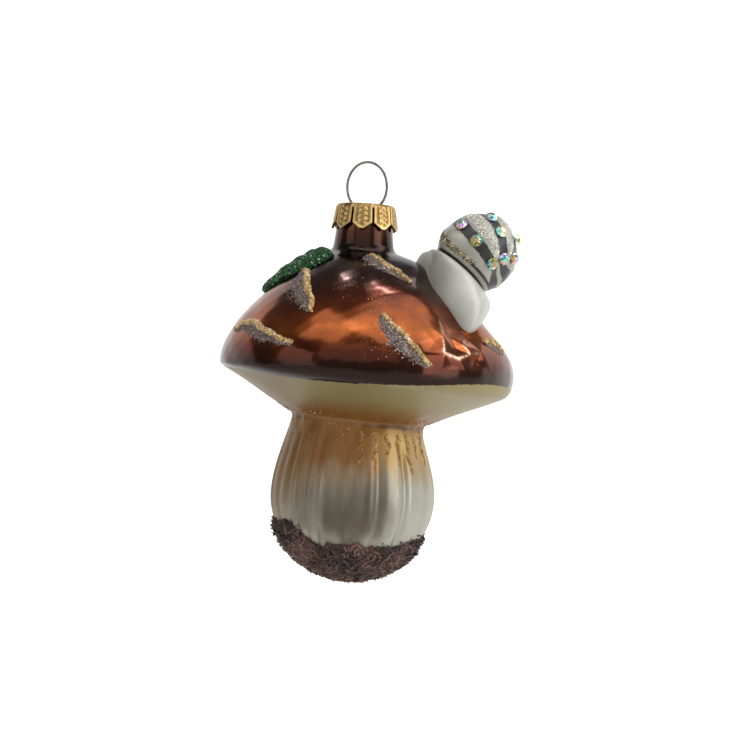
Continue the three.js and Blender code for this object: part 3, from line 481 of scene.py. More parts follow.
def glass_outline():
    """Control points of the glass's outline as radius and height, in stretches from the neck's rim down."""
    def at(radius, z):
        return np.array([radius, z], float)

    neck_rim = at(NECK_RIM_RADIUS, NECK_TOP)
    neck_foot = at(NECK_FOOT_RADIUS, NECK_FOOT)
    neck_end = lerp(neck_rim, neck_foot, 1 - NECK_FILLET / (NECK_TOP - NECK_FOOT))
    dome_start = onward(neck_foot, NECK_FILLET, DOME_SLOPE)
    dome_end = at(CAP_RADIUS, RIM)
    lip = at(CAP_RADIUS - RIM_TUCK, LIP)
    stem_top = at(STEM_TOP_RADIUS, STEM_TOP)
    inward = unit(stem_top - lip)
    underside_end = stem_top - inward * CREASE_FILLET
    stem_start = onward(stem_top, CREASE_FILLET, 90 - STEM_LEAN)
    bulge = at(STEM_RADIUS, BULGE)
    shoulder = onward(dome_start, DOME_SHOULDER, DOME_SLOPE)
    rim_side = at(CAP_RADIUS, RIM - RIM_FULLNESS * (RIM - LIP))
    stem_drop = STEM_TOP - BULGE
    foot_drop = BULGE - FOOT
    return {
        "neck": [neck_rim, neck_end],
        "fillet": [neck_end, neck_foot, dome_start],
        "dome": [dome_start, shoulder, at(CAP_RADIUS, RIM + DOME_BROW), dome_end],
        "rim": [dome_end, rim_side, lip - inward * LIP_FULLNESS * RIM_TUCK, lip],
        "underside": [lip, underside_end],
        "crease": [underside_end, stem_top, stem_start],
        "stem": [
            stem_start, onward(stem_start, STEM_TOP_FULLNESS * stem_drop, 90 - STEM_LEAN),
            at(STEM_RADIUS, BULGE + STEM_SIDE_FULLNESS * stem_drop), bulge],
        "foot": [
            bulge, at(STEM_RADIUS, BULGE - FOOT_SIDE_FULLNESS * foot_drop),
            at(FOOT_BASE_FULLNESS * STEM_RADIUS, FOOT), at(0, FOOT)],
    }


OUTLINE = glass_outline()


def bezier(points, share):
    """Points of a Bezier curve of any degree."""
    share = np.asarray(share, float)[..., None]
    degree = len(points) - 1
    terms = range(degree + 1)
    return sum(math.comb(degree, i) * share ** i * (1 - share) ** (degree - i) * points[i] for i in terms)


def offset_at(z):
    """Offset of a level to the right of the neck's axis."""
    to_rim = smoothstep(NECK_FOOT - z, 0, NECK_FOOT - RIM)
    to_stem = smoothstep(LIP - z, 0, LIP - STEM_TOP)
    return lerp(CAP_OFFSET * to_rim, STEM_OFFSET, to_stem)


def slope_at(z):
    """Slope of a level, right side down, under the cap and at the stem's top."""
    from_rim = smoothstep(RIM - z, 0, RIM - LIP)
    to_bulge = smoothstep(STEM_TOP - z, 0, STEM_TOP - BULGE)
    return math.tan(math.radians(UNDERSIDE_TILT)) * from_rim * (1 - to_bulge)


def groove_depth(angle, z):
    """Depth of the stem's grooves, which fade towards its top and the foot."""
    depth = np.zeros(np.broadcast(angle, z).shape)
    for middle, half, deep, full in STEM_GROOVES:
        away = (angle - middle + 180) % 360 - 180
        fade = smoothstep(STEM_TOP - z, 0, full * (STEM_TOP - BULGE)) * smoothstep(z - FOOT, *GROOVE_FADE)
        depth = depth + deep * fade * np.exp(-(away / half) ** 2)
    return depth


def plain_skin(stretch, share, angle):
    """Points of the outer glass without the cap's unevenness."""
    share, angle = np.broadcast_arrays(np.asarray(share, float), np.asarray(angle, float))
    outline = bezier(OUTLINE[stretch], share)
    radius, z = outline[..., 0], outline[..., 1]
    radius = radius - groove_depth(angle, z)
    turn = np.radians(angle)
    sideways = radius * np.cos(turn)
    return np.stack([offset_at(z) + sideways, radius * np.sin(turn), z - slope_at(z) * sideways], axis=-1)


def surface_axes(skin, share, angle):
    """Directions of a surface down its outline, across it and outwards, and its points."""
    share, angle = np.broadcast_arrays(np.asarray(share, float), np.asarray(angle, float))
    down = skin(np.minimum(share + SHARE_STEP, 1), angle) - skin(np.maximum(share - SHARE_STEP, 0), angle)
    round_ = skin(share, angle + ANGLE_STEP) - skin(share, angle - ANGLE_STEP)
    out = unit(np.cross(down, round_))
    down = unit(down)
    return down, np.cross(out, down), out, skin(share, angle)


def plain_dome(share, angle):
    """Points of the dome without its unevenness."""
    return plain_skin("dome", share, angle)


def cap_swells():
    """Swells of the cap as points, pushes and spreads in space."""
    swells = []
    for angle, share, height, spread in CAP_SWELLS:
        _, _, out, middle = surface_axes(plain_dome, share, angle)
        swells.append((middle, out * height, spread))
    return swells


SWELLS = cap_swells()


def crumple_net():
    """Corners of the crumple on an even sheet, and its facets."""
    flat = [(angle, CRUMPLE_ASPECT * share) for angle, share, _ in CRUMPLE]
    facets = delaunay_2d_cdt([Vector(corner) for corner in flat], [], [], 0, 1e-4)[2]
    return np.array(flat), facets


CORNERS, FACETS = crumple_net()


def crumple_height(share, angle):
    """Height of the crumpled facets over the dome."""
    place = np.stack([(angle + 180) % 360 - 180, CRUMPLE_ASPECT * share], axis=-1)
    height = np.zeros(place.shape[:-1])
    for facet in FACETS:
        a, b, c = CORNERS[list(facet)]
        span = np.linalg.inv(np.array([b - a, c - a]).T)
        u, v = np.moveaxis((place - a) @ span.T, -1, 0)
        inside = (u >= 0) & (v >= 0) & (u + v <= 1)
        low, left, right = (CRUMPLE[i][2] for i in facet)
        height = np.where(inside, low + (left - low) * u + (right - low) * v, height)
    return height


def highlight_folds(points):
    """How strong the painted highlight is along the sharpest folds of the crumple."""
    worn = np.zeros(len(points))
    for ends in HIGHLIGHT_LINES:
        first, last = (glass_skin("dome", *np.array(CRUMPLE[i][1::-1])) for i in ends)
        way = last - first
        along = np.clip(((points - first) @ way) / (way @ way), 0, 1)[:, None]
        away = np.linalg.norm(points - first - along * way, axis=1)
        worn = np.maximum(worn, np.exp(-(away / HIGHLIGHT_WIDTH) ** 2))
    return worn


def blown_ripple(points):
    """Soft unevenness of blown glass, between about -1 and 1."""
    x, y, z = points[..., 0], points[..., 1], points[..., 2]
    broad = np.sin(0.31 * x + 0.9) * np.sin(0.27 * y + 0.4) + np.sin(0.22 * x - 0.25 * y + 0.5 * z)
    fine = np.sin(0.62 * x + 0.45 * z + 2.0) * np.sin(0.55 * y - 0.5 * z)
    dents = np.sin(1.1 * x - 0.7 * z + 0.6) * np.sin(0.9 * y + 0.8 * z + 1.2)
    return 0.36 * broad + 0.25 * fine + 0.16 * dents


def glass_skin(stretch, share, angle):
    """Points of the outer glass, with the cap's swells, folds and ripple."""
    plain = plain_skin(stretch, share, angle)
    point = plain.copy()
    for middle, push, spread in SWELLS:
        away = np.linalg.norm(plain - middle, axis=-1, keepdims=True) / spread
        point += push * np.exp(-away ** 2)
    middle = np.stack([offset_at(plain[..., 2]), 0 * plain[..., 2], plain[..., 2]], axis=-1)
    outwards = unit(plain - middle + 1e-9)
    on_cap = smoothstep(NECK_FOOT - plain[..., 2], 0, 6) * smoothstep(plain[..., 2] - LIP, -1, 4)
    ripple = bpy.context.scene.ornament.glass.ripple / MM
    turn = np.arctan2(plain[..., 1], plain[..., 0])
    coarse = np.sin(7 * turn + 0.6) + 0.8 * np.sin(12 * turn + 2.0 * np.sin(3 * turn))
    lumps = coarse + 0.5 * np.sin(23 * turn)
    at_crease = np.exp(-((plain[..., 2] - STEM_TOP) / CREASE_SPREAD) ** 2)
    uneven = ripple * on_cap * blown_ripple(plain) + CREASE_LUMPS * at_crease * lumps
    if stretch == "dome":
        uneven = uneven + crumple_height(np.asarray(share, float), np.asarray(angle, float))
    return point + outwards * uneven[..., None]


def above(stretch, share, angle, height):
    """Points at a height above the glass."""
    _, _, out, point = surface_axes(lambda part, turn: glass_skin(stretch, part, turn), share, angle)
    return point + out * np.asarray(height, float)[..., None]


def spline(points, along):
    """Points of a smooth curve through given points."""
    points = np.asarray(points, float)
    last = len(points) - 1
    place = np.asarray(along, float) * last
    piece = np.minimum(place.astype(int), last - 1)
    part = (place - piece)[..., None]
    before, start, end, after = (points[np.clip(piece + k, 0, last)] for k in (-1, 0, 1, 2))
    leave, arrive = (end - before) / 2, (after - start) / 2
    cubic = (2 * start - 2 * end + leave + arrive) * part ** 3
    return cubic + (3 * end - 3 * start - 2 * leave - arrive) * part ** 2 + leave * part + start


def beside(stretch, path, along, distance):
    """Angle and share on the glass at a distance beside a path, on the right of its travel."""
    place = spline(path, along)
    travel = spline(path, np.minimum(along + SHARE_STEP, 1)) - spline(path, np.maximum(along - SHARE_STEP, 0))
    angle, share = place[..., 0], place[..., 1]
    here = glass_skin(stretch, share, angle)
    inside = np.where(share < 0.5, SHARE_STEP, -SHARE_STEP)
    per_degree = np.linalg.norm(glass_skin(stretch, share, angle + ANGLE_STEP) - here, axis=-1) / ANGLE_STEP
    per_share = np.linalg.norm(glass_skin(stretch, share + inside, angle) - here, axis=-1) / SHARE_STEP
    way = unit(np.stack([travel[..., 0] * per_degree, travel[..., 1] * per_share], axis=-1))
    return angle - way[..., 1] * distance / per_degree, share + way[..., 0] * distance / per_share


def grid_faces(rows, columns, wrap=False, start=0):
    """Quads of a grid of points, closed round its columns where it wraps."""
    across = columns if wrap else columns - 1
    row, column = np.meshgrid(np.arange(rows - 1), np.arange(across), indexing="ij")
    here = row * columns
    below = here + columns
    right = (column + 1) % columns
    corners = [here + column, here + right, below + right, below + column]
    return (np.stack(corners, axis=-1).reshape(-1, 4) + start).tolist()


def shell_solid(rings, first_pole, last_pole):
    """Points and faces of a closed solid through rings of points, with a pole at each end."""
    count, steps, _ = rings.shape
    points = np.vstack([rings.reshape(-1, 3), first_pole, last_pole])
    faces = grid_faces(count, steps, wrap=True)
    top = count * steps
    last = top - steps
    for i in range(steps):
        following = (i + 1) % steps
        faces.append([top, following, i])
        faces.append([top + 1, last + i, last + following])
    return points, faces


def plate_solid(lower, upper):
    """Points and faces of a closed plate between two sheets of points."""
    rows, columns, _ = lower.shape
    size = rows * columns
    faces = grid_faces(rows, columns, start=size)
    faces += [face[::-1] for face in grid_faces(rows, columns)]
    border = list(range(columns))
    border += [i * columns + columns - 1 for i in range(1, rows)]
    border += [(rows - 1) * columns + j for j in range(columns - 2, -1, -1)]
    border += [i * columns for i in range(rows - 2, 0, -1)]
    for here, following in zip(border, border[1:] + border[:1]):
        faces.append([here, following, following + size, here + size])
    return np.vstack([lower.reshape(-1, 3), upper.reshape(-1, 3)]), faces


def plate_on_glass(stretch, path, steps, columns, left, right, height):
    """Closed plate that follows the glass along a path; also says which points are on its upper sheet."""
    along, across = np.meshgrid(np.linspace(0, 1, steps + 1), np.linspace(0, 1, columns + 1), indexing="ij")
    angle, share = beside(stretch, path, along, lerp(left(along), right(along), across))
    lower = above(stretch, share, angle, np.full_like(along, -PLATE_SINK))
    upper = above(stretch, share, angle, height(along, across))
    points, faces = plate_solid(lower, upper)
    return points, faces, np.repeat([0.0, 1.0], along.size)


def add_object(name, data):
    """Object in the scene that shows a mesh, a lamp or a camera."""
    made = bpy.data.objects.new(name, data)
    bpy.context.scene.collection.objects.link(made)
    return made


def keep_values(mesh, name, values, kind="FLOAT", domain="POINT"):
    """Keeps numbers or vectors on a mesh under a name."""
    held = mesh.attributes.get(name) or mesh.attributes.new(name, kind, domain)
    key = "vector" if kind == "FLOAT_VECTOR" else "value"
    held.data.foreach_set(key, np.ravel(np.asarray(values, float)))


def kept_values(mesh, name):
    """Numbers that a mesh keeps on its points."""
    values = np.zeros(len(mesh.vertices))
    mesh.attributes[name].data.foreach_get("value", values)
    return values


def add_mesh(name, points, faces, material=None, smooth=True, edges=(), **values):
    """Object in the scene from points in millimetres, with faces outwards and values kept on its points."""
    mesh = bpy.data.meshes.new(name)
    mesh.from_pydata((np.asarray(points) * MM).tolist(), edges, faces)
    mesh.update()
    if faces:
        shape = bmesh.new()
        shape.from_mesh(mesh)
        if shape.calc_volume(signed=True) < 0:
            bmesh.ops.reverse_faces(shape, faces=shape.faces)
        shape.to_mesh(mesh)
        shape.free()
        mesh.polygons.foreach_set("use_smooth", [smooth] * len(mesh.polygons))
    for label, held in values.items():
        keep_values(mesh, label, held)
    if material:
        mesh.materials.append(material)
    return add_object(name, mesh)


def gather(parts):
    """One list of points, faces and point values from several."""
    points, faces, values, start = [], [], [], 0
    for part_points, part_faces, part_values in parts:
        points.append(part_points)
        values.append(part_values)
        faces += [[corner + start for corner in face] for face in part_faces]
        start += len(part_points)
    return np.vstack(points), faces, np.concatenate(values)


class Flow:
    """What flows out of a node's socket, so that a sum of nodes is written as a plain sum."""

    def __init__(self, tree, socket):
        self.tree = tree
        self.socket = socket

    def reckon(self, operation, *others):
        """Result of a sum that starts with this value."""
        return maths(self.tree, operation, self, *others)

    def __add__(self, other):
        return self.reckon("ADD", other)

    def __sub__(self, other):
        return self.reckon("SUBTRACT", other)

    def __rsub__(self, other):
        return maths(self.tree, "SUBTRACT", other, self)

    def __mul__(self, other):
        return self.reckon("MULTIPLY", other)

    def __truediv__(self, other):
        return self.reckon("DIVIDE", other)

    def __rtruediv__(self, other):
        return maths(self.tree, "DIVIDE", other, self)

    def __abs__(self):
        return self.reckon("ABSOLUTE")


def link(holder, sockets):
    """Gives values or flows to a node's sockets, by their names or numbers."""
    for key, value in sockets.items():
        if isinstance(value, Flow):
            holder.id_data.links.new(value.socket, holder.inputs[key])
        else:
            holder.inputs[key].default_value = value


def node(tree, kind, sockets=None, **options):
    """Node with its options set and its sockets given values or flows."""
    made = tree.nodes.new(kind)
    for option, value in options.items():
        setattr(made, option, value)
    link(made, sockets or {})
    return made


def flow(tree, kind, sockets=None, output=0, **options):
    """What flows out of one socket of a new node."""
    return Flow(tree, node(tree, kind, sockets, **options).outputs[output])


def flows(tree, made):
    """All that flows out of a node, by the names of its sockets."""
    return {socket.name: Flow(tree, socket) for socket in made.outputs}


def maths(tree, operation, *values):
    """Result of a sum on values or flows."""
    return flow(tree, "ShaderNodeMath", dict(enumerate(values)), operation=operation)


def split(vector):
    """The three numbers of a vector."""
    made = node(vector.tree, "ShaderNodeSeparateXYZ", {0: vector})
    return [Flow(vector.tree, socket) for socket in made.outputs]


def combined(tree, x=0.0, y=0.0, z=0.0):
    """Vector of three numbers."""
    return flow(tree, "ShaderNodeCombineXYZ", {0: x, 1: y, 2: z})


def length_of(vector):
    """Length of a vector."""
    return flow(vector.tree, "ShaderNodeVectorMath", {0: vector}, "Value", operation="LENGTH")


def fitted(value, low, high, start=0.0, end=1.0, smooth=True):
    """Value brought from one range to another, held at its ends."""
    kind = "SMOOTHSTEP" if smooth else "LINEAR"
    sockets = {"Value": value, "From Min": low, "From Max": high, "To Min": start, "To Max": end}
    return flow(value.tree, "ShaderNodeMapRange", sockets, "Result", interpolation_type=kind)


def mixed(share, first, second):
    """Colour between two others, by a share that changes over the surface."""
    return flow(share.tree, "ShaderNodeMix", {0: share, 6: first, 7: second}, 2, data_type="RGBA")


def mixed_colour(first, second, share):
    """Colour between two others, the same all over."""
    return tuple(lerp(a, b, share) for a, b in zip(first, second))


def ramped(value, stops):
    """Colour along a row of stops."""
    made = node(value.tree, "ShaderNodeValToRGB", {"Fac": value})
    elements = made.color_ramp.elements
    while len(elements) < len(stops):
        elements.new(1.0)
    for element, (place, colour) in zip(elements, stops):
        element.position = place
        element.color = colour
    return Flow(value.tree, made.outputs["Color"])


def noise(where, scale, detail=2.0, roughness=0.5):
    """Noise between nothing and one."""
    sockets = {"Vector": where, "Scale": scale, "Detail": detail, "Roughness": roughness}
    return flow(where.tree, "ShaderNodeTexNoise", sockets, "Fac")


def bump(height, distance, strength):
    """Normal from a height."""
    sockets = {"Height": height, "Distance": distance, "Strength": strength}
    return flow(height.tree, "ShaderNodeBump", sockets, "Normal")


def group_ends(tree, inputs, outputs):
    """What flows into a node group and its last node. An input without a first value gives its kind."""
    for name, value in inputs.items():
        kind = value if isinstance(value, str) else SOCKET_KINDS[type(value)]
        socket = tree.interface.new_socket(name, in_out="INPUT", socket_type="NodeSocket" + kind)
        if kind != value:
            socket.default_value = value
    for name, kind in outputs.items():
        tree.interface.new_socket(name, in_out="OUTPUT", socket_type="NodeSocket" + kind)
    return flows(tree, tree.nodes.new("NodeGroupInput")), tree.nodes.new("NodeGroupOutput")


def smudge_group():
    """Shader group: faint handling marks, as a mask and as a roughness round a middle value."""
    known = bpy.data.node_groups.get("Smudges")
    if known:
        return known
    tree = bpy.data.node_groups.new("Smudges", "ShaderNodeTree")
    inputs = {"Where": "Vector", "Scale": 100.0, "Middle": 0.3, "Spread": 0.1}
    given, end = group_ends(tree, inputs, {"Roughness": "Float", "Mask": "Float"})
    mask = fitted(noise(given["Where"], given["Scale"], 4.0, 0.6), 0.3, 0.7)
    low = given["Middle"] - given["Spread"]
    high = given["Middle"] + given["Spread"]
    link(end, {"Roughness": fitted(mask, 0.0, 1.0, low, high, False), "Mask": mask})
    return tree


def smudges(where, scale, middle, spread):
    """Handling marks placed in a material with their own values."""
    sockets = {"Where": where, "Scale": scale, "Middle": middle, "Spread": spread}
    return flows(where.tree, node(where.tree, "ShaderNodeGroup", sockets, node_tree=smudge_group()))


def glitter_group():
    """Shader group: tint and roughness of a grain of glitter from its own chance value, with a painted glint
    on the brightest grains.
    """
    known = bpy.data.node_groups.get("Glitter tint")
    if known:
        return known
    tree = bpy.data.node_groups.new("Glitter tint", "ShaderNodeTree")
    given, end = group_ends(
        tree, {"Grain": 0.5, "Dark": "Color", "Light": "Color"}, {"Tint": "Color", "Roughness": "Float"})
    grain = given["Grain"]
    tint = mixed(fitted(grain, 0.15, 0.95), given["Dark"], given["Light"])
    # Painted glint: the brightest grains are mixed towards a near-white colour.
    tint_with_glint = mixed(fitted(grain, 0.9, 1.0, 0.0, 0.6), tint, GLINT)
    link(end, {"Tint": tint_with_glint, "Roughness": fitted(grain, 0.0, 1.0, 0.55, 0.22, False)})
    return tree


def new_material(name):
    """Material with its tree, its shader and the object's coordinates."""
    made = bpy.data.materials.new(name)
    made.use_nodes = True
    tree = made.node_tree
    return made, tree, tree.nodes["Principled BSDF"], flow(tree, "ShaderNodeTexCoord", output="Object")


def point_value(tree, name):
    """Value of one of the piece's own attributes."""
    return flow(tree, "ShaderNodeAttribute", output="Fac", attribute_name=name)


def cap_lacquer(look, tree, where, level):
    """Colour of the cap: copper on its brow, partly a painted highlight; dark at the neck and the rim, partly
    painted shade; clouded; and with painted highlights on its folds.
    """
    wave = noise(where, 55.0, 3.0) * 6.0 - 3.0
    down = fitted(level + wave, NECK_TOP, LIP, smooth=False)
    # Lacquer by level, partly painted light: painted shade at the neck and the rim, a painted highlight on
    # the brow.
    cap = ramped(down, [
        (0.0, look.cap_neck), (0.24, look.cap_dark), (0.34, look.cap_dark), (0.5, look.cap_rust),
        (0.72, look.cap_copper), (0.84, look.cap_rust), (0.93, look.cap_dark)])
    clouds = fitted(noise(where, 130.0, 4.0, 0.6), 0.35, 0.65) * 0.45
    patchy = fitted(noise(where, 500.0, 3.0), 0.38, 0.62, 0.05, 0.75)
    # Painted highlights along the sharpest folds, broken up in patches.
    return mixed(point_value(tree, "worn") * patchy, mixed(clouds, cap, look.cap_dark), look.cap_worn)


def stem_lacquer(look, where, level, on_stem, drawn_out, streak):
    """Colour below the cap, from cream through a sprayed tint to silver, with painted shade on the left and
    in the crease, painted light on the right and painted dark reflections on the silver, and how far down it
    is.
    """
    side = split(where)[0]
    # Painted side light and shade: on the right the tint is paler and ends higher, on the left it is darker
    # and reaches lower.
    lit_right = fitted(side, 0.003, 0.01)
    shaded_left = fitted(side, -0.006, -0.02)
    ragged = (streak * 9.0 - 4.5) * on_stem
    reach = shaded_left * 6.0 + lit_right * -4.0
    low = fitted(level + ragged + reach * on_stem, LIP, FOOT, smooth=False)
    below = ramped(low, [
        (0.0, look.gill_cream), (0.07, look.gill_cream), (0.16, look.gill_ochre), (0.2, look.stem_amber),
        (0.37, look.stem_amber), (0.62, look.stem_silver), (1.0, look.stem_silver)])
    reddish = fitted(streak, 0.42, 0.62, 0.0, 0.6) * fitted(level, -76.0, -66.0)
    below = mixed(reddish * on_stem, below, look.stem_rust)
    # Painted light on the right of the stem and painted shade on the left.
    below = mixed(lit_right * on_stem * fitted(low, 0.62, 0.3, 0.0, 0.8), below, look.stem_painted_light)
    below = mixed(shaded_left * 0.7, below, look.stem_painted_shade)
    uneven = noise(drawn_out, 260.0, 3.0) * 1.2 - 0.6
    # Painted dark reflections on the silver, with ragged edges.
    for place, (wide, high), amount in PAINTED_REFLECTIONS:
        radii = (wide, wide, high)
        middle = tuple(-c / r for c, r in zip(place, radii))
        scale = tuple(1 / (MM * r) for r in radii)
        sockets = {0: where, 1: scale, 2: middle}
        spot = flow(where.tree, "ShaderNodeVectorMath", sockets, operation="MULTIPLY_ADD")
        thin = fitted(length_of(spot) + uneven, 1.2, 0.1, 0.0, amount)
        below = mixed(thin, below, look.stem_reflection_dark)
    # Painted shade in the crease under the cap, broken up in patches.
    crease_shade = fitted(abs(level + (CREASE_SHADE_SINK - STEM_TOP)), 0.9, 0.1)
    patchy = fitted(noise(where, 60.0), 0.35, 0.55, 0.3, 0.9)
    return mixed(crease_shade * patchy, below, look.stem_crease_shade), low


def glass_material(look):
    """Silvered glass: glossy copper lacquer on the cap, frosted cream and silver below it."""
    made, tree, shader, where = new_material("lacquered glass")
    level = point_value(tree, "level")
    on_stem = fitted(level, STEM_TOP, STEM_TOP - 4)
    drawn_out = flow(tree, "ShaderNodeMapping", {"Vector": where, "Scale": (1.0, 1.0, 0.07)})
    streak = noise(drawn_out, 420.0, 3.0, 0.65)
    below, low = stem_lacquer(look, where, level, on_stem, drawn_out, streak)
    over_edge = noise(where, 700.0) * -0.5 + point_value(tree, "over_edge")
    on_cap = fitted(over_edge, -0.35, -0.15)
    gloss = fitted(on_cap, 0.0, 1.0, look.stem_roughness, look.cap_roughness)
    link(shader, {
        "Base Color": mixed(on_cap, below, cap_lacquer(look, tree, where, level)),
        "Metallic": fitted(on_cap, 0.0, 1.0, fitted(low, 0.3, 0.6, 0.3, 0.62), 0.94),
        "Roughness": gloss + smudges(where, 90.0, 0.0, 0.03)["Roughness"],
        "Coat Weight": on_cap * 0.16, "Coat Roughness": 0.05,
        "Normal": bump(streak * on_stem, 0.00006, 0.25)})
    return made


def brass_material(look):
    """Thin stamped brass, darker in its hollows."""
    made, tree, shader, where = new_material("stamped brass")
    smudge = smudges(where, 600.0, 0.34, 0.08)
    tarnish = smudge["Mask"] * 0.2 + point_value(tree, "hollow") * 0.6
    link(shader, {
        "Base Color": mixed(tarnish, look.brass, look.brass_shade), "Roughness": smudge["Roughness"],
        "Metallic": 1.0, "Normal": bump(noise(where, 2500.0), 0.00003, 0.4)})
    return made


def steel_material(look):
    """Drawn spring wire."""
    made, tree, shader, where = new_material("spring steel")
    smudge = smudges(where, 900.0, 0.36, 0.1)
    link(shader, {
        "Base Color": mixed(smudge["Mask"], look.steel, STEEL_SHADE), "Roughness": smudge["Roughness"],
        "Metallic": 0.9, "Normal": bump(noise(where, 3000.0), 0.00002, 0.4)})
    return made


def pearl_material(look):
    """Matt pearl lacquer of the snail's body."""
    made, tree, shader, where = new_material("pearl grey")
    cloud = noise(where, 160.0, 4.0, 0.55)
    shade = mixed_colour(look.pearl, PEARL_SHADE, 0.25)
    link(shader, {
        "Base Color": mixed(fitted(cloud, 0.35, 0.7), shade, look.pearl), "Metallic": 0.15,
        "Roughness": smudges(where, 240.0, 0.42, 0.08)["Roughness"], "Coat Weight": 0.1,
        "Normal": bump(cloud, 0.0004, 0.25)})
    return made


def shell_material(look):
    """Grey lacquer with black stripes, and silver paint under the glitter."""
    made, tree, shader, where = new_material("striped shell")
    wander = noise(where, 900.0) * 0.3 - 0.15
    dark = fitted(point_value(tree, "stripe") + wander, 0.42, 0.58)
    shade = mixed_colour(look.shell_grey, SHELL_SHADE, 0.3)
    light = mixed(noise(where, 260.0, 3.0), look.shell_grey, shade)
    silvered = mixed(point_value(tree, "sparkle") * 0.6, light, look.silver)
    link(shader, {
        "Base Color": mixed(dark, silvered, look.shell_black),
        "Roughness": smudges(where, 300.0, 0.4, 0.08)["Roughness"],
        "Metallic": fitted(dark, 0.0, 1.0, 0.25, 0.0), "Coat Weight": 0.15,
        "Normal": bump(noise(where, 1500.0), 0.00005, 0.3)})
    return made


def stone_material():
    """Foil-backed stones with a film that flashes in another colour from facet to facet."""
    made, tree, shader, where = new_material("crystal")
    chance = point_value(tree, "facet") + point_value(tree, "stone") * 7.3
    hue = (noise(where, 500.0) * 0.3 + chance).reckon("FRACT")
    link(shader, {
        "Base Color": ramped(hue, [(place, paint(code)) for place, code in STONE_FLASHES]),
        "Roughness": fitted(noise(where, 900.0), 0.2, 0.8, 0.03, 0.12),
        "Metallic": 0.75, "Coat Weight": 1.0, "Coat Roughness": 0.02})
    return made


def glitter_material(name, dark, light, metallic):
    """Glued grains of glitter, each with its own tint."""
    made, tree, shader, where = new_material(name)
    sockets = {"Grain": point_value(tree, "grain"), "Dark": dark, "Light": light}
    grain = flows(tree, node(tree, "ShaderNodeGroup", sockets, node_tree=glitter_group()))
    shade = fitted(noise(where, 400.0), 0.3, 0.7, 0.25, 0.0)
    link(shader, {
        "Base Color": mixed(shade, grain["Tint"], dark), "Roughness": grain["Roughness"],
        "Metallic": metallic})
    return made


def soil_material(look):
    """Dry flakes of soil and bark."""
    made, tree, shader, where = new_material("soil")
    patch = noise(where, 130.0, 3.0) * 1.5 - 0.5
    share = point_value(tree, "grain") * 0.5 + patch
    link(shader, {
        "Base Color": mixed(fitted(share, 0.15, 0.95), look.soil_dark, look.soil_light),
        "Roughness": smudges(where, 500.0, 0.72, 0.12)["Roughness"],
        "Normal": bump(noise(where, 1600.0, 4.0), 0.0003, 0.5)})
    return made


def nodes_tree(name, inputs):
    """Geometry tree with a geometry going in and out, and named inputs for its sizes and its material."""
    tree = bpy.data.node_groups.new(name, "GeometryNodeTree")
    tree.is_modifier = True
    inputs = {"Geometry": "Geometry", **inputs, "Material": "Material"}
    return (tree, *group_ends(tree, inputs, {"Geometry": "Geometry"}))


def close_tree(end, geometry, material):
    """End of a geometry tree: instances made real and the material set."""
    real = flow(end.id_data, "GeometryNodeRealizeInstances", {"Geometry": geometry})
    done = flow(end.id_data, "GeometryNodeSetMaterial", {"Geometry": real, "Material": material})
    link(end, {"Geometry": done})


def stored(geometry, name, value, domain="POINT"):
    """Geometry that keeps a value under a name."""
    sockets = {"Geometry": geometry, "Name": name, "Value": value}
    return flow(geometry.tree, "GeometryNodeStoreNamedAttribute", sockets, data_type="FLOAT", domain=domain)


def named(tree, name, kind="FLOAT"):
    """Value that the geometry keeps under a name."""
    return flow(tree, "GeometryNodeInputNamedAttribute", {"Name": name}, "Attribute", data_type=kind)


def chance_between(tree, low, high, seed):
    """Chance value between two numbers or two vectors."""
    kind, output = ("FLOAT_VECTOR", 0) if isinstance(low, tuple) else ("FLOAT", 1)
    sockets = {2 * output: low, 2 * output + 1: high, "Seed": seed}
    return flow(tree, "FunctionNodeRandomValue", sockets, output, data_type=kind)


def scaled(vector, share):
    """Vector made longer or shorter."""
    return flow(vector.tree, "ShaderNodeVectorMath", {0: vector, "Scale": share}, operation="SCALE")


def rotation_of(euler):
    """Rotation from angles round the three axes."""
    return flow(euler.tree, "FunctionNodeEulerToRotation", {"Euler": euler})


def turned(rotation, euler):
    """Rotation followed by a turn of its own."""
    sockets = {"Rotation": rotation, "Rotate By": rotation_of(euler)}
    return flow(rotation.tree, "FunctionNodeRotateRotation", sockets, rotation_space="LOCAL")


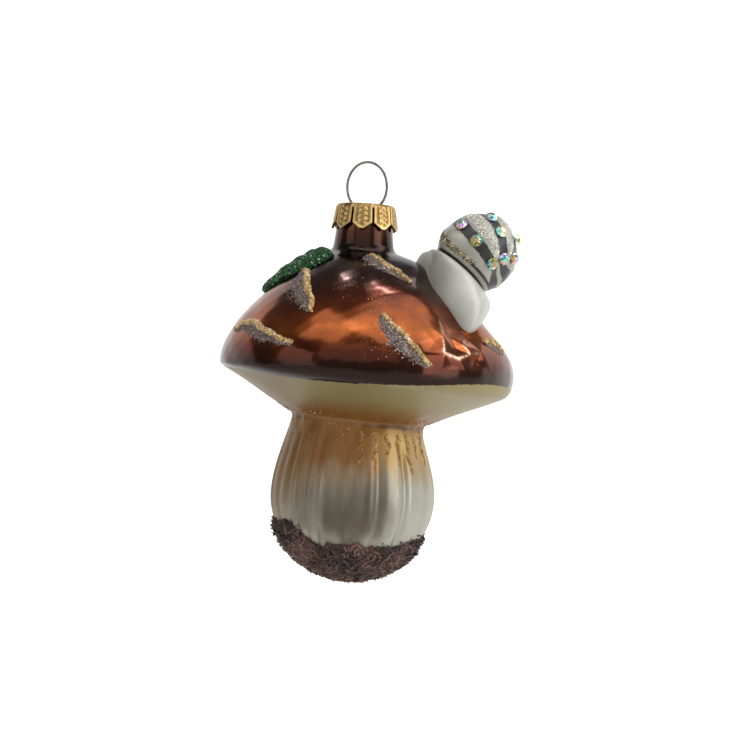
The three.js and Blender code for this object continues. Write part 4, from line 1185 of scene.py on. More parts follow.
def grain_tree():
    """Geometry tree: grains or flakes scattered over a surface, thick where its own values say so."""
    known = bpy.data.node_groups.get("Scattered grains")
    if known:
        return known
    tree, given, end = nodes_tree("Scattered grains", {
        "Density": 1e6, "Seed": 0, "Sides": 6, "Size": (0.0002, 0.0002, 0.00006), "Size Spread": 0.4,
        "Tilt": 0.8, "Lift": 0.0, "Keep Surface": True})
    density = named(tree, "thick") * given["Density"]
    spread = flows(tree, node(tree, "GeometryNodeDistributePointsOnFaces", {
        "Mesh": given["Geometry"], "Density": density, "Seed": given["Seed"]}, distribute_method="RANDOM"))
    flake = flow(tree, "GeometryNodeMeshCylinder", {
        "Vertices": given["Sides"], "Radius": 1.0, "Depth": 1.0}, fill_type="NGON")
    flat = flow(tree, "GeometryNodeSetShadeSmooth", {"Geometry": flake, "Shade Smooth": False})
    lean = chance_between(tree, (-1.0, -1.0, -4.0), (1.0, 1.0, 4.0), 1)
    tilt = combined(tree, given["Tilt"], given["Tilt"], 1.0)
    euler = flow(tree, "ShaderNodeVectorMath", {0: lean, 1: tilt}, operation="MULTIPLY")
    least = 1.0 - given["Size Spread"]
    most = maths(tree, "ADD", 1.0, given["Size Spread"])
    rise = scaled(spread["Normal"], given["Lift"] * chance_between(tree, 0.0, 1.0, 5))
    lifted = flow(tree, "GeometryNodeSetPosition", {"Geometry": spread["Points"], "Offset": rise})
    grains = flow(tree, "GeometryNodeInstanceOnPoints", {
        "Points": lifted, "Instance": flat, "Rotation": turned(spread["Rotation"], euler),
        "Scale": scaled(given["Size"], chance_between(tree, least, most, 2))})
    tinted = stored(grains, "grain", chance_between(tree, 0.12, 1.0, 3), "INSTANCE")
    kept = flow(tree, "GeometryNodeSwitch", {
        "Switch": given["Keep Surface"], "True": given["Geometry"]}, input_type="GEOMETRY")
    joined = tree.nodes.new("GeometryNodeJoinGeometry")
    for part in (kept, tinted):
        link(joined, {"Geometry": part})
    close_tree(end, Flow(tree, joined.outputs["Geometry"]), given["Material"])
    return tree


def petal_tree():
    """Geometry tree: one petal repeated round the crown."""
    tree, given, end = nodes_tree("Ring of petals", {"Petals": PETALS, "Turn": 0.0})
    index = flow(tree, "GeometryNodeInputIndex")
    angle = index * (2 * math.pi / given["Petals"]) + given["Turn"]
    ring = flow(tree, "GeometryNodeInstanceOnPoints", {
        "Points": flow(tree, "GeometryNodePoints", {"Count": given["Petals"]}), "Instance": given["Geometry"],
        "Rotation": rotation_of(combined(tree, z=angle))})
    close_tree(end, ring, given["Material"])
    return tree


def wire_tree():
    """Geometry tree: round wire along a path."""
    tree, given, end = nodes_tree("Round wire", {"Diameter": 0.00065, "Sides": WIRE_SIDES})
    path = flow(tree, "GeometryNodeMeshToCurve", {"Mesh": given["Geometry"]})
    ring = flow(tree, "GeometryNodeCurvePrimitiveCircle", {
        "Resolution": given["Sides"], "Radius": given["Diameter"] / 2.0})
    tube = flow(tree, "GeometryNodeCurveToMesh", {"Curve": path, "Profile Curve": ring, "Fill Caps": True})
    close_tree(end, tube, given["Material"])
    return tree


def shell_tree():
    """Geometry tree: ribbed shell, a ball with lobes between dark stripes and a hollow at each pole."""
    lengths = ("Diameter", "Breadth", "Lobe Height", "Whorl Swell", "Navel Radius", "Navel Depth")
    tree, given, end = nodes_tree("Ribbed shell", {
        **dict.fromkeys(lengths, 0.01), "Stripes": SHELL_STRIPES, "Stripe Half Angle": 0.1,
        "Stripe Drift": (0.0, 0.0, 0.0), "Whorl Angle": 0.5, "Whorl Spread": 0.3,
        "Segments": 96, "Rings": 48})
    ball = flow(tree, "GeometryNodeMeshUVSphere", {
        "Segments": given["Segments"], "Rings": given["Rings"], "Radius": 1.0})
    x, y, z = split(flow(tree, "GeometryNodeInputPosition"))
    level = (x * x + y * y).reckon("SQRT")
    angle = y.reckon("ARCTAN2", x)
    drift_x, drift_y, _ = split(given["Stripe Drift"])
    towards = x * drift_x + y * drift_y
    drifted = fitted(towards, -0.3, 0.35) * fitted(z, 0.0, 0.45)
    wound_x = x - drifted * drift_x
    wound_y = y - drifted * drift_y
    wound = wound_y.reckon("ARCTAN2", wound_x)
    from_pole = (wound_x * wound_x + wound_y * wound_y).reckon("SQRT")
    half_pitch = math.pi / given["Stripes"]
    away = abs(wound.reckon("WRAP", half_pitch, half_pitch * -1.0))
    half = given["Stripe Half Angle"] / from_pole.reckon("MAXIMUM", STRIPE_POLE).reckon("MINIMUM", 1.0)
    in_lobe = (away - half).reckon("MAXIMUM", 0.0) / (half_pitch - half)
    lobe = (in_lobe * (math.pi / 2)).reckon("SINE") * given["Lobe Height"]
    aside = (angle - given["Whorl Angle"]).reckon("WRAP", math.pi, -math.pi) / given["Whorl Spread"]
    hump = (aside * aside * -1.0).reckon("EXPONENT")
    pole_share = z.reckon("ARCCOSINE") / math.pi
    whorl = hump * fitted(pole_share, *WHORL_SPAN) * given["Whorl Swell"]
    radius = (given["Diameter"] * 0.5 + (lobe + whorl) * (level * level)) * level
    ratio = radius / given["Navel Radius"]
    navel = given["Navel Depth"] * (ratio * ratio * -1.0).reckon("EXPONENT")
    half_breadth = given["Breadth"] * 0.5 - navel
    shaped = combined(tree, radius * angle.reckon("COSINE"), radius * angle.reckon("SINE"), half_breadth * z)
    stripe = fitted(away, 0.03, half * 1.6, 1.0, 0.0, False)
    marked = stored(stored(ball, "stripe", stripe), "round", wound)
    moved = flow(tree, "GeometryNodeSetPosition", {"Geometry": marked, "Position": shaped})
    smooth = flow(tree, "GeometryNodeSetShadeSmooth", {"Geometry": moved, "Shade Smooth": True})
    close_tree(end, smooth, given["Material"])
    return tree


def stone_tree():
    """Geometry tree: one stone set at each of the places of another object."""
    tree, given, end = nodes_tree("Set stones", {"Places": "Object", "Seed": SEED_STONES})
    places = flow(tree, "GeometryNodeObjectInfo", {"Object": given["Places"]}, "Geometry")
    points = flow(tree, "GeometryNodeMeshToPoints", {"Mesh": places})
    facing = named(tree, "facing", "FLOAT_VECTOR")
    stand = flow(tree, "FunctionNodeAlignRotationToVector", {"Vector": facing}, axis="Z")
    spin = combined(tree, z=chance_between(tree, 0.0, 6.0, given["Seed"]))
    stones = flow(tree, "GeometryNodeInstanceOnPoints", {
        "Points": points, "Instance": given["Geometry"], "Rotation": turned(stand, spin)})
    marked = stored(stones, "stone", chance_between(tree, 0.0, 1.0, 8), "INSTANCE")
    close_tree(end, marked, given["Material"])
    return tree


def grow(piece, tree, **values):
    """Runs a geometry tree on an object, with inputs given by name, and keeps the result as a mesh."""
    modifier = piece.modifiers.new(tree.name, "NODES")
    modifier.node_group = tree
    for item in tree.interface.items_tree:
        key = item.name.replace(" ", "_").lower()
        if item.in_out == "INPUT" and key in values:
            modifier[item.identifier] = values[key]
    depsgraph = bpy.context.evaluated_depsgraph_get()
    mesh = bpy.data.meshes.new_from_object(
        piece.evaluated_get(depsgraph), preserve_all_data_layers=True, depsgraph=depsgraph)
    mesh.name = piece.name
    piece.modifiers.remove(modifier)
    old = piece.data
    piece.data = mesh
    bpy.data.meshes.remove(old)
    return piece


def settle(piece, body, slot, *nodes):
    """Puts a finished piece in the frame: the body it rides on, and the solids it stands for; its slot is not
    used.
    """
    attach(piece, body)
    if nodes:
        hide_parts(*nodes)


def scatter(piece, material, slot, nodes=(), **grains):
    """Covers a piece on the glass with grains, from sizes in millimetres, and puts it in the frame."""
    inputs = {"sides": 5, "size_spread": 0.4, "tilt": 0.8, "lift": 0.0, "keep_surface": True, **grains}
    inputs["density"] = inputs.pop("per_mm2") * PER_MM2
    inputs["size"] = tuple(s * MM for s in inputs["size"])
    inputs["lift"] *= MM
    grow(piece, grain_tree(), material=material, **inputs)
    settle(piece, "glass", slot, *nodes)


def grain_sizes(look, scale):
    """Radius, radius and thickness of a grain in millimetres."""
    radius = scale * look.grain_size / MM
    return radius, radius, GRAIN_FLATNESS * radius


def numbered(name, count):
    """Names of the solids of a numbered group."""
    return [f"{name}_{i + 1:02d}" for i in range(count)]


def ring_stations(counts):
    """Stretch and share of each ring of the glass, from the neck's rim to just above the bottom."""
    return [(stretch, i / count) for stretch, count in counts.items() for i in range(count)]


def round_angles(steps):
    """Even angles all the way round."""
    return np.arange(steps) * 360 / steps


def lacquer_edge(angle):
    """Level where the copper lacquer ends, lowest at the front left."""
    turn = np.radians(angle)
    left = 2.0 * np.cos(turn + math.radians(125))
    twice = 0.6 * np.cos(2 * turn + math.radians(40))
    right = 2.0 * np.exp(-(((angle + 180) % 360 - 180) / 30) ** 2)
    return LACQUER_EDGE - left + twice - right


class ORNAMENT_OT_glass(bpy.types.Operator):
    """Blow the mushroom: neck, cap, underside, grooved stem and foot as one thin shell"""

    bl_idname = "ornament.glass"
    bl_label = "Blown glass"

    def execute(self, context):
        """Builds the outer and inner rings and closes them at the neck's rim."""
        angles = np.unique(np.concatenate([round_angles(ROUND_STEPS), np.arange(*FOLD_ANGLES, FOLD_STEP)]))
        steps = len(angles)
        outer_count = sum(OUTER_RINGS.values())
        stations = list(reversed(ring_stations(OUTER_RINGS))) + ring_stations(INNER_RINGS)
        rings = []
        for i, (stretch, share) in enumerate(stations):
            depth = 0.0 if i < outer_count else float(GLASS_WALL)
            rings.append(above(stretch, np.full(steps, share), angles, np.full(steps, -depth)))
        rings[outer_count][:, 2] = NECK_TOP
        bottom, inside = (STEM_OFFSET, 0, FOOT), (STEM_OFFSET, 0, FOOT + GLASS_WALL)
        points, faces = shell_solid(np.array(rings), bottom, inside)
        levels = [bezier(OUTLINE[stretch], share)[1] for stretch, share in stations]
        level = np.concatenate([np.repeat(levels, steps), [FOOT, FOOT]])
        over_edge = level - np.concatenate([np.tile(lacquer_edge(angles), len(stations)), [LIP, LIP]])
        # Keeps on the points the level, the lacquer's edge and the strength of the painted fold highlights.
        piece = add_mesh(
            "blown_glass", points, faces, glass_material(context.scene.ornament.glass), level=level,
            over_edge=over_edge, worn=highlight_folds(points))
        settle(piece, "glass", "lacquered_glass", "mushroom_glass")
        return {"FINISHED"}


def crown_radius(z):
    """Outer radius of the crown at a level, rounded at its top."""
    skirt = lerp(CROWN_TOP_RADIUS, CROWN_MOUTH_RADIUS, (CROWN_TOP - z) / (CROWN_TOP - CROWN_BOTTOM))
    rise = np.clip((z - CROWN_TOP) / CROWN_SHOULDER + 1, 0, 1)
    return skirt - CROWN_SHOULDER * (1 - np.sqrt(1 - rise ** 2))


def crown_petal(emboss):
    """Points, faces and hollows of one stamped petal, with a raised border and two rows of bosses."""
    rows, columns = PETAL_GRID
    top = CROWN_TOP - PETAL_START
    down, side = np.meshgrid(np.linspace(0, 1, rows), np.linspace(-1, 1, columns), indexing="ij")
    half = math.pi / PETALS * CROWN_MOUTH_RADIUS - PETAL_SLIT / 2
    across = side * half
    point = PETAL_POINT * np.clip((np.abs(across) - PETAL_TIP / 2) / (half - PETAL_TIP / 2), 0, 1)
    length = top - (CROWN_BOTTOM + point)
    z = top - down * length
    to_edge = np.minimum((1 - np.abs(side)) * half, (1 - down) * length)
    border = smoothstep(to_edge, 0.8, 0.55) * smoothstep(to_edge, 0.0, 0.15)
    boss = np.zeros_like(z)
    for i in range(BOSSES):
        aside = BOSS_ASIDE if i % 2 else -BOSS_ASIDE
        level = SLIT_TOP + 0.35 - BOSS_PITCH * i
        boss = np.maximum(boss, np.exp(-(((across - aside) ** 2 + (z - level) ** 2) / BOSS_RADIUS ** 2)))
    inside = smoothstep(to_edge, 0.6, 0.9) * smoothstep(CROWN_TOP - z, 0.3, 0.8)
    raised = np.maximum(border * smoothstep(CROWN_TOP - z, 0.2, 0.9), 1.3 * boss * inside)
    turn = across / CROWN_MOUTH_RADIUS
    droop = crown_radius(z) + 0.12 * np.sin(2.2 * side) * down

    def sheet(radius):
        return np.stack([radius * np.cos(turn), radius * np.sin(turn), z], axis=-1)

    points, faces = plate_solid(sheet(droop - CROWN_WALL), sheet(droop + emboss * raised))
    hollow = np.concatenate([np.ones(z.size), (1 - np.clip(raised, 0, 1)).ravel()])
    return points, faces, hollow


def crown_top():
    """Points and faces of the crown's rounded top, a closed cup down to the top of the slits."""
    shoulder = CROWN_TOP - CROWN_SHOULDER
    flat_radius = CROWN_TOP_RADIUS - CROWN_SHOULDER
    under = CROWN_TOP - CROWN_WALL
    outer = [(r, CROWN_TOP) for r in np.linspace(CROWN_EYE, flat_radius, 12)[:-1]]
    for turn in np.linspace(math.pi / 2, 0, 8):
        z = CROWN_TOP - CROWN_SHOULDER * (1 - math.sin(turn))
        outer.append((crown_radius(z) - CROWN_INSET, z))
    outer.append((crown_radius(SLIT_TOP) - CROWN_INSET, SLIT_TOP))
    inner = [
        (crown_radius(SLIT_TOP) - CROWN_WALL, SLIT_TOP), (CROWN_TOP_RADIUS - CROWN_WALL, shoulder),
        (flat_radius, under), (CROWN_EYE, under)]
    angle = np.radians(round_angles(CROWN_STEPS))
    rings = np.array([[(r * math.cos(a), r * math.sin(a), z) for a in angle] for r, z in outer + inner])
    return shell_solid(rings, (0, 0, CROWN_TOP), (0, 0, under))


def slot_cutters():
    """Points and faces of the two round-ended blocks that cut the wire's slots."""
    levels = (CROWN_TOP + SLOT_CUT, CROWN_TOP - SLOT_CUT)
    parts = []
    for side in (-1, 1):
        middle = side * LEG_SLOT
        ring = []
        for end, start in ((1, -math.pi / 2), (-1, math.pi / 2)):
            for angle in np.linspace(start, start + math.pi, SLOT_STEPS + 1):
                x = middle + end * SLOT_REACH + SLOT_HALF_WIDTH * math.cos(angle)
                ring.append((x, SLOT_HALF_WIDTH * math.sin(angle)))
        rings = np.array([[(x, y, z) for x, y in ring] for z in levels])
        points, faces = shell_solid(rings, *((middle, 0, z) for z in levels))
        parts.append((points, faces, np.zeros(len(points))))
    return gather(parts)[:2]


class ORNAMENT_OT_crown(bpy.types.Operator):
    """Stamp the crown: a slotted top with nine embossed petals"""

    bl_idname = "ornament.crown"
    bl_label = "Crown"

    def execute(self, context):
        """Repeats one petal round the axis and joins it with the slotted top."""
        look = context.scene.ornament.metal
        material = brass_material(look)
        points, faces, hollow = crown_petal(look.emboss / MM)
        piece = add_mesh("stamped_crown", points, faces, hollow=hollow)
        turn = math.radians(PETAL_TURN + 180 / PETALS)
        grow(piece, petal_tree(), petals=PETALS, turn=turn, material=material)
        points, faces = crown_top()
        top = add_mesh("crown_top", points, faces, material, hollow=np.zeros(len(points)))
        cutter = add_mesh("slots", *slot_cutters())
        cut = top.modifiers.new("Slots", "BOOLEAN")
        cut.object = cutter
        cut.solver = "EXACT"
        depsgraph = context.evaluated_depsgraph_get()
        slotted = bpy.data.meshes.new_from_object(top.evaluated_get(depsgraph), depsgraph=depsgraph)
        mesh = piece.data
        joined = bmesh.new()
        joined.from_mesh(mesh)
        joined.from_mesh(slotted)
        joined.to_mesh(mesh)
        joined.free()
        mesh.materials.clear()
        mesh.materials.append(material)
        mesh.polygons.foreach_set("material_index", [0] * len(mesh.polygons))
        bpy.data.objects.remove(top)
        bpy.data.objects.remove(cutter)
        settle(piece, "crown", "stamped_brass", "crown")
        return {"FINISHED"}


def wire_path():
    """Centre line of the hanger, from one leg's tip over the loop to the other's."""
    close = math.radians(LOOP_CLOSE)
    radius = bpy.context.scene.ornament.metal.wire_diameter / MM / 2
    end_x = LOOP_HALF_WIDTH * math.sin(close)
    end_z = CROWN_TOP + radius + abs(end_x - LEG_SLOT)
    half_height = (radius - end_z) / (1 - math.cos(close))
    turns = np.linspace(0, close, 24)
    loop = [(LOOP_HALF_WIDTH * math.sin(t), radius - half_height + half_height * math.cos(t)) for t in turns]
    leg = [
        (LEG_SLOT, CROWN_TOP), (LEG_SLOT, (CROWN_TOP + LEG_BEND) / 2), (LEG_SLOT, LEG_BEND),
        (LEG_BORE, (LEG_BEND + LEG_TIP) / 2), (LEG_BORE - LEG_CURL, LEG_TIP)]
    right = np.array(loop + leg)
    left = (right[1:] * (-1, 1))[::-1]
    route = np.vstack([left, right])
    knots = np.concatenate([[0], np.cumsum(np.sqrt(np.linalg.norm(np.diff(route, axis=0), axis=1)))])
    slopes = np.gradient(route, knots, axis=0)
    fine = []
    for i in range(len(route) - 1):
        leave, arrive = slopes[i:i + 2] * (knots[i + 1] - knots[i])
        for s in np.linspace(0, 1, 5)[:-1]:
            start = (2 * s ** 3 - 3 * s * s + 1) * route[i] + (s ** 3 - 2 * s * s + s) * leave
            end = (3 * s * s - 2 * s ** 3) * route[i + 1] + (s ** 3 - s * s) * arrive
            fine.append(start + end)
    fine.append(route[-1])
    return np.array([(x, 0, z) for x, z in fine])


class ORNAMENT_OT_hanger(bpy.types.Operator):
    """Bend the hanger: the loop above the crown and the two sprung legs in the neck"""

    bl_idname = "ornament.hanger"
    bl_label = "Hanger wire"

    def execute(self, context):
        """Draws a round wire along its path."""
        look = context.scene.ornament.metal
        path = wire_path()
        piece = add_mesh("hanger_loop", path, [], edges=[(i, i + 1) for i in range(len(path) - 1)])
        grow(piece, wire_tree(), diameter=look.wire_diameter, sides=WIRE_SIDES, material=steel_material(look))
        piece.data.polygons.foreach_set("use_smooth", [len(p.vertices) == 4 for p in piece.data.polygons])
        settle(piece, "hanger", "spring_steel", "hanger_wire")
        return {"FINISHED"}


def frame_matrix(axes):
    """Matrix of a place on a surface: down, across, out and the point."""
    matrix = Matrix.Identity(4)
    for row in range(3):
        matrix[row] = [axis[row] for axis in axes]
    return matrix


def snail_seat():
    """Frame of the place on the dome where the snail sits."""
    return frame_matrix(surface_axes(plain_dome, SNAIL_SHARE, SNAIL_ANGLE))


def joint_matrix():
    """Frame in the middle of the flat joint between the snail's body and its shell."""
    rise = Matrix.Translation((-SHELL_UPHILL, 0, JOINT_RISE))
    lean = Matrix.Rotation(-math.radians(SHELL_LEAN), 4, "X")
    return snail_seat() @ rise @ lean @ Matrix.Translation((0, 0, JOINT_STAND))


def coil_matrix():
    """Frame of the shell: its first dark stripe, across it, and the axis of the coil."""
    axis = unit(np.array(COIL_AXIS))
    second = unit(np.cross(axis, FIRST_STRIPE))
    middle = (0, 0, SHELL_DIAMETER / 2 - SHELL_TRIM)
    return joint_matrix() @ frame_matrix((np.cross(second, axis), second, axis, middle))


def placed(points, matrix):
    """Points moved by a matrix."""
    turn = np.array(matrix)
    return points @ turn[:3, :3].T + turn[:3, 3]


def closed_curve(points, steps):
    """Points of a smooth closed curve through given points."""
    wrapped = np.array(points[-2:] + points + points[:3], float)
    last = len(wrapped) - 1
    return spline(wrapped, (2 + np.arange(steps) * len(points) / steps) / last)


class ORNAMENT_OT_snail_body(bpy.types.Operator):
    """Model the snail's body: a soft lump on the cap with a flat top for the shell"""

    bl_idname = "ornament.snail_body"
    bl_label = "Snail body"

    def execute(self, context):
        """Bends each side of the lump from the shell's seat down to its foot on the cap."""
        steps, flat, rows, under = BODY_GRID
        joint = joint_matrix()
        edge = closed_curve(FOOT_EDGE, steps)
        base = above("dome", edge[:, 1], edge[:, 0], np.full(steps, -BODY_SINK))
        away = base - base.mean(axis=0)
        down, across, outwards = np.array(snail_seat())[:3, :3].T
        turn = np.arctan2(away @ across, away @ down)
        disc = np.stack([np.cos(turn), np.sin(turn), 0 * turn], axis=-1)
        middle = placed(np.array([[0, 0, -JOINT_GAP]]), joint)[0]
        brim = placed(SEAT_RADIUS * disc - (0, 0, JOINT_GAP), joint)
        shoulder = brim + (brim - middle) * BODY_SHOULDER
        wall = base + outwards * BODY_WALL + unit(away) * BODY_FLARE
        rings = [lerp(middle, brim, row / flat) for row in range(1, flat)]
        for share in np.arange(rows + 1) / rows:
            side = bezier((brim, shoulder, wall, base), share)
            lump = 0.12 * np.sin(3 * turn + 0.4 + 5 * share) + 0.07 * np.sin(5 * turn - 6 * share)
            swell = np.sin(math.pi * share) ** 2 * lump
            rings.append(side + unit(side - middle + outwards * 4) * swell[:, None])
        for row in range(1, under):
            place = lerp(edge, edge.mean(axis=0), row / under)
            rings.append(above("dome", place[:, 1], place[:, 0], np.full(steps, -BODY_SINK)))
        points, faces = shell_solid(np.array(rings), middle, rings[-1].mean(axis=0))
        piece = add_mesh("snail_lump", points, faces, pearl_material(context.scene.ornament.snail))
        settle(piece, "glass", "pearl_grey", "snail_body")
        return {"FINISHED"}


def shell_band(angle, middle, half):
    """Strength of a band round the coil's axis, one in its middle."""
    away = np.abs((np.degrees(angle) - middle + 180) % 360 - 180)
    return smoothstep(away, half, 0.6 * half)


def cut_flat(mesh, origin, normal):
    """Cuts a closed mesh by a plane and closes it there."""
    shape = bmesh.new()
    shape.from_mesh(mesh)
    cut = bmesh.ops.bisect_plane(
        shape, geom=shape.verts[:] + shape.edges[:] + shape.faces[:], plane_co=origin, plane_no=normal,
        clear_inner=True)
    rim = [e for e in cut["geom_cut"] if isinstance(e, bmesh.types.BMEdge)]
    bmesh.ops.edgeloop_fill(shape, edges=rim)
    shape.to_mesh(mesh)
    shape.free()


def paint_shell(mesh, coil, origin, normal):
    """Marks dark stripes and silvered lobes on the shell, and gives the glitter of lobes and streak."""
    round_ = kept_values(mesh, "round")
    place = np.zeros(3 * len(mesh.vertices))
    mesh.vertices.foreach_get("co", place)
    place = place.reshape(-1, 3)
    over = (place - np.array(origin)) @ np.array(normal) / MM
    axis = np.array(coil.to_3x3().col[2].normalized())
    pole = np.degrees(np.arccos(np.clip(unit(place - np.array(coil.translation)) @ axis, -1, 1)))
    clear = over > GLITTER_CLEAR
    line = smoothstep(np.abs(over - 1.95), 0.5, 0.2) * smoothstep(pole, 62, 54)
    stripe = kept_values(mesh, "stripe") * (1 - shell_band(round_, 46, 32))
    keep_values(mesh, "stripe", np.maximum(np.maximum(stripe, line), smoothstep(over, 1.1, 0.5)))
    on_lobe = smoothstep(pole, 24, 44) * smoothstep(pole, 125, 105)
    lobes = np.maximum(shell_band(round_, -22.5, 11) * on_lobe, 0.45 * shell_band(round_, -67.5, 9) * on_lobe)
    keep_values(mesh, "sparkle", lobes * clear)
    streak = shell_band(round_, 31, 6) * smoothstep(pole, 40, 60) * smoothstep(pole, 155, 125)
    return lobes * clear, streak * clear


class ORNAMENT_OT_snail_shell(bpy.types.Operator):
    """Model the snail's shell: light lobes, dark stripes and bands of silver glitter"""

    bl_idname = "ornament.snail_shell"
    bl_label = "Snail shell"

    def execute(self, context):
        """Grows the ribbed ball, cuts it flat at the joint and glues glitter on its lobes and its lip."""
        look = context.scene.ornament.snail
        glitter = context.scene.ornament.glitter
        way = math.radians(STRIPE_DRIFT_WAY)
        piece = add_mesh("snail_coil", np.zeros((0, 3)), [])
        grow(
            piece, shell_tree(), diameter=SHELL_DIAMETER * MM, breadth=SHELL_BREADTH * MM,
            lobe_height=LOBE_HEIGHT * MM, whorl_swell=WHORL_SWELL * MM, whorl_angle=math.radians(WHORL_ANGLE),
            whorl_spread=math.radians(WHORL_SPREAD), navel_radius=NAVEL_RADIUS * MM,
            navel_depth=NAVEL_DEPTH * MM, stripes=SHELL_STRIPES,
            stripe_half_angle=math.radians(STRIPE_HALF_ANGLE), segments=192, rings=96,
            stripe_drift=(STRIPE_DRIFT * math.cos(way), STRIPE_DRIFT * math.sin(way), 0.0),
            material=shell_material(look))
        mesh = piece.data
        coil = coil_matrix()
        coil.translation *= MM
        mesh.transform(coil)
        joint = joint_matrix()
        origin = joint.translation * MM
        normal = joint.to_3x3().col[2].normalized()
        cut_flat(mesh, origin, normal)
        lobes, streak = paint_shell(mesh, coil, origin, normal)
        settle(piece, "glass", "striped_grey", "snail_shell")
        shade = mixed_colour(look.shell_black, look.silver, 0.5)
        silver = glitter_material("silver glitter", shade, paint("efede0"), 0.2)
        bronze = glitter_material("bronze glitter", paint("3a2f20"), paint("e6d6a6"), 0.6)
        dusts = (("shell_glitter", lobes, silver, 14, 1.25), ("shell_streak", streak, bronze, 20, 1.1))
        for i, (name, thick, material, per_mm2, scale) in enumerate(dusts):
            dust = add_object(name, mesh.copy())
            keep_values(dust.data, "thick", thick)
            scatter(
                dust, material, "striped_grey", per_mm2=per_mm2, size=grain_sizes(glitter, scale),
                seed=SEED_SHELL + i, keep_surface=False, tilt=0.7)
        return {"FINISHED"}


def shell_point(pole, angle):
    """Place and outward direction on a dark stripe of the shell."""
    def skin(share, turn):
        tip, turn = np.pi * share, np.radians(turn)
        radius = SHELL_DIAMETER / 2 * np.sin(tip)
        half_breadth = SHELL_BREADTH / 2 - NAVEL_DEPTH * np.exp(-(radius / NAVEL_RADIUS) ** 2)
        flat = np.stack([radius * np.cos(turn), radius * np.sin(turn), half_breadth * np.cos(tip)], -1)
        return placed(flat, coil_matrix())

    _, _, out, point = surface_axes(skin, pole / 180, angle)
    return point + out * STONE_SEAT, out


def stone_shape(diameter, height):
    """Points and faces of a flat-backed stone with a table, two rows of facets and a girdle."""
    sides = STONE_SIDES
    pitch = 2 * math.pi / sides
    points = []
    for turn, width, level in STONE_RINGS:
        radius = width * diameter / 2
        for i in range(sides):
            angle = (i + turn) * pitch
            points.append((radius * math.cos(angle), radius * math.sin(angle), level * height))
    low, belt, star, table = (row * sides for row in range(4))
    faces = [list(range(sides))[::-1], list(range(table, table + sides))]
    for i in range(sides):
        after, before = (i + 1) % sides, (i - 1) % sides
        faces.append([low + i, low + after, belt + after, belt + i])
        faces.append([belt + i, belt + after, star + i])
        faces.append([belt + i, star + i, table + i, star + before])
        faces.append([star + i, table + after, table + i])
    return np.array(points), faces


class ORNAMENT_OT_stones(bpy.types.Operator):
    """Glue the flat-backed stones on the dark stripes of the shell"""

    bl_idname = "ornament.stones"
    bl_label = "Stones"

    def execute(self, context):
        """Sets one cut stone at every place in the rows."""
        look = context.scene.ornament.snail
        pitch = 360 / SHELL_STRIPES
        seats = [shell_point(pole, pitch * stripe) for stripe, poles in STONE_ROWS.items() for pole in poles]
        places, facing = zip(*seats)
        marks = add_mesh("stone_seats", np.array(places), [])
        keep_values(marks.data, "facing", facing, "FLOAT_VECTOR")
        points, faces = stone_shape(look.stone_diameter / MM, look.stone_height / MM)
        piece = add_mesh("stones", points, faces, smooth=False)
        facet = [0.0, 0.62] + [0.5 * (i // 4) / 8 + 0.06 * (i % 4) for i in range(len(faces) - 2)]
        keep_values(piece.data, "facet", facet, domain="FACE")
        grow(piece, stone_tree(), places=marks, seed=SEED_STONES, material=stone_material())
        bpy.data.objects.remove(marks)
        settle(piece, "glass", "crystal", *numbered("rhinestone", len(places)))
        return {"FINISHED"}


class ORNAMENT_OT_leaf(bpy.types.Operator):
    """Model the leaf on the back left of the cap and cover it with green glitter"""

    bl_idname = "ornament.leaf"
    bl_label = "Leaf"

    def execute(self, context):
        """Builds a veined plate along the leaf's path and scatters grains over it."""
        look = context.scene.ornament.glitter

        def half(along):
            return LEAF_WIDTH / 2 * lerp(0.42, 1, np.sin(np.pi * along ** 0.85) ** 0.7)

        def height(along, across):
            swell = lerp(0.6, 1, np.sin(np.pi * along ** 0.7))
            crest = lerp(0.35, 1, np.sin(np.pi * across) ** 0.7)
            off = np.abs(across - 0.5) * 2
            midrib = 0.45 * np.exp(-(off / 0.13) ** 2)
            veins = 0.1 * np.cos(2 * np.pi * (5 * along - 1.6 * off)) * smoothstep(off, 0.05, 0.3)
            return LEAF_THICKNESS * swell * (crest - midrib + veins)

        points, faces, top = plate_on_glass(
            "dome", LEAF_PATH, *LEAF_GRID, lambda along: -half(along), half, height)
        piece = add_mesh("leaf_blade", points, faces, thick=top, grain=np.full(len(points), 0.1))
        green = glitter_material("green glitter", look.green_shade, look.green, 0.4)
        scatter(
            piece, green, "green_glitter", ["leaf"], per_mm2=16, size=grain_sizes(look, 1.3), seed=SEED_LEAF,
            lift=0.12, tilt=1.0)
        return {"FINISHED"}


def bead(stretch, path, width, crest, steps):
    """Plate of glue under a bead of glitter, rounded across and thinner at its ends."""
    def ends(along):
        ragged = 1 + 0.1 * np.sin(37 * along) + 0.07 * np.sin(61 * along + 1)
        return lerp(0.6, 1, np.sin(np.pi * along)) * ragged

    def sway(along):
        return BEAD_SWAY * (np.sin(11 * along + path[0][0]) + 0.6 * np.sin(23 * along))

    return plate_on_glass(
        stretch, path, steps, 10, lambda along: sway(along) - width / 2 * ends(along),
        lambda along: sway(along) + width / 2 * ends(along),
        lambda along, across: crest * ends(along) * lerp(-0.1, 1, np.sin(np.pi * across) ** 0.7))


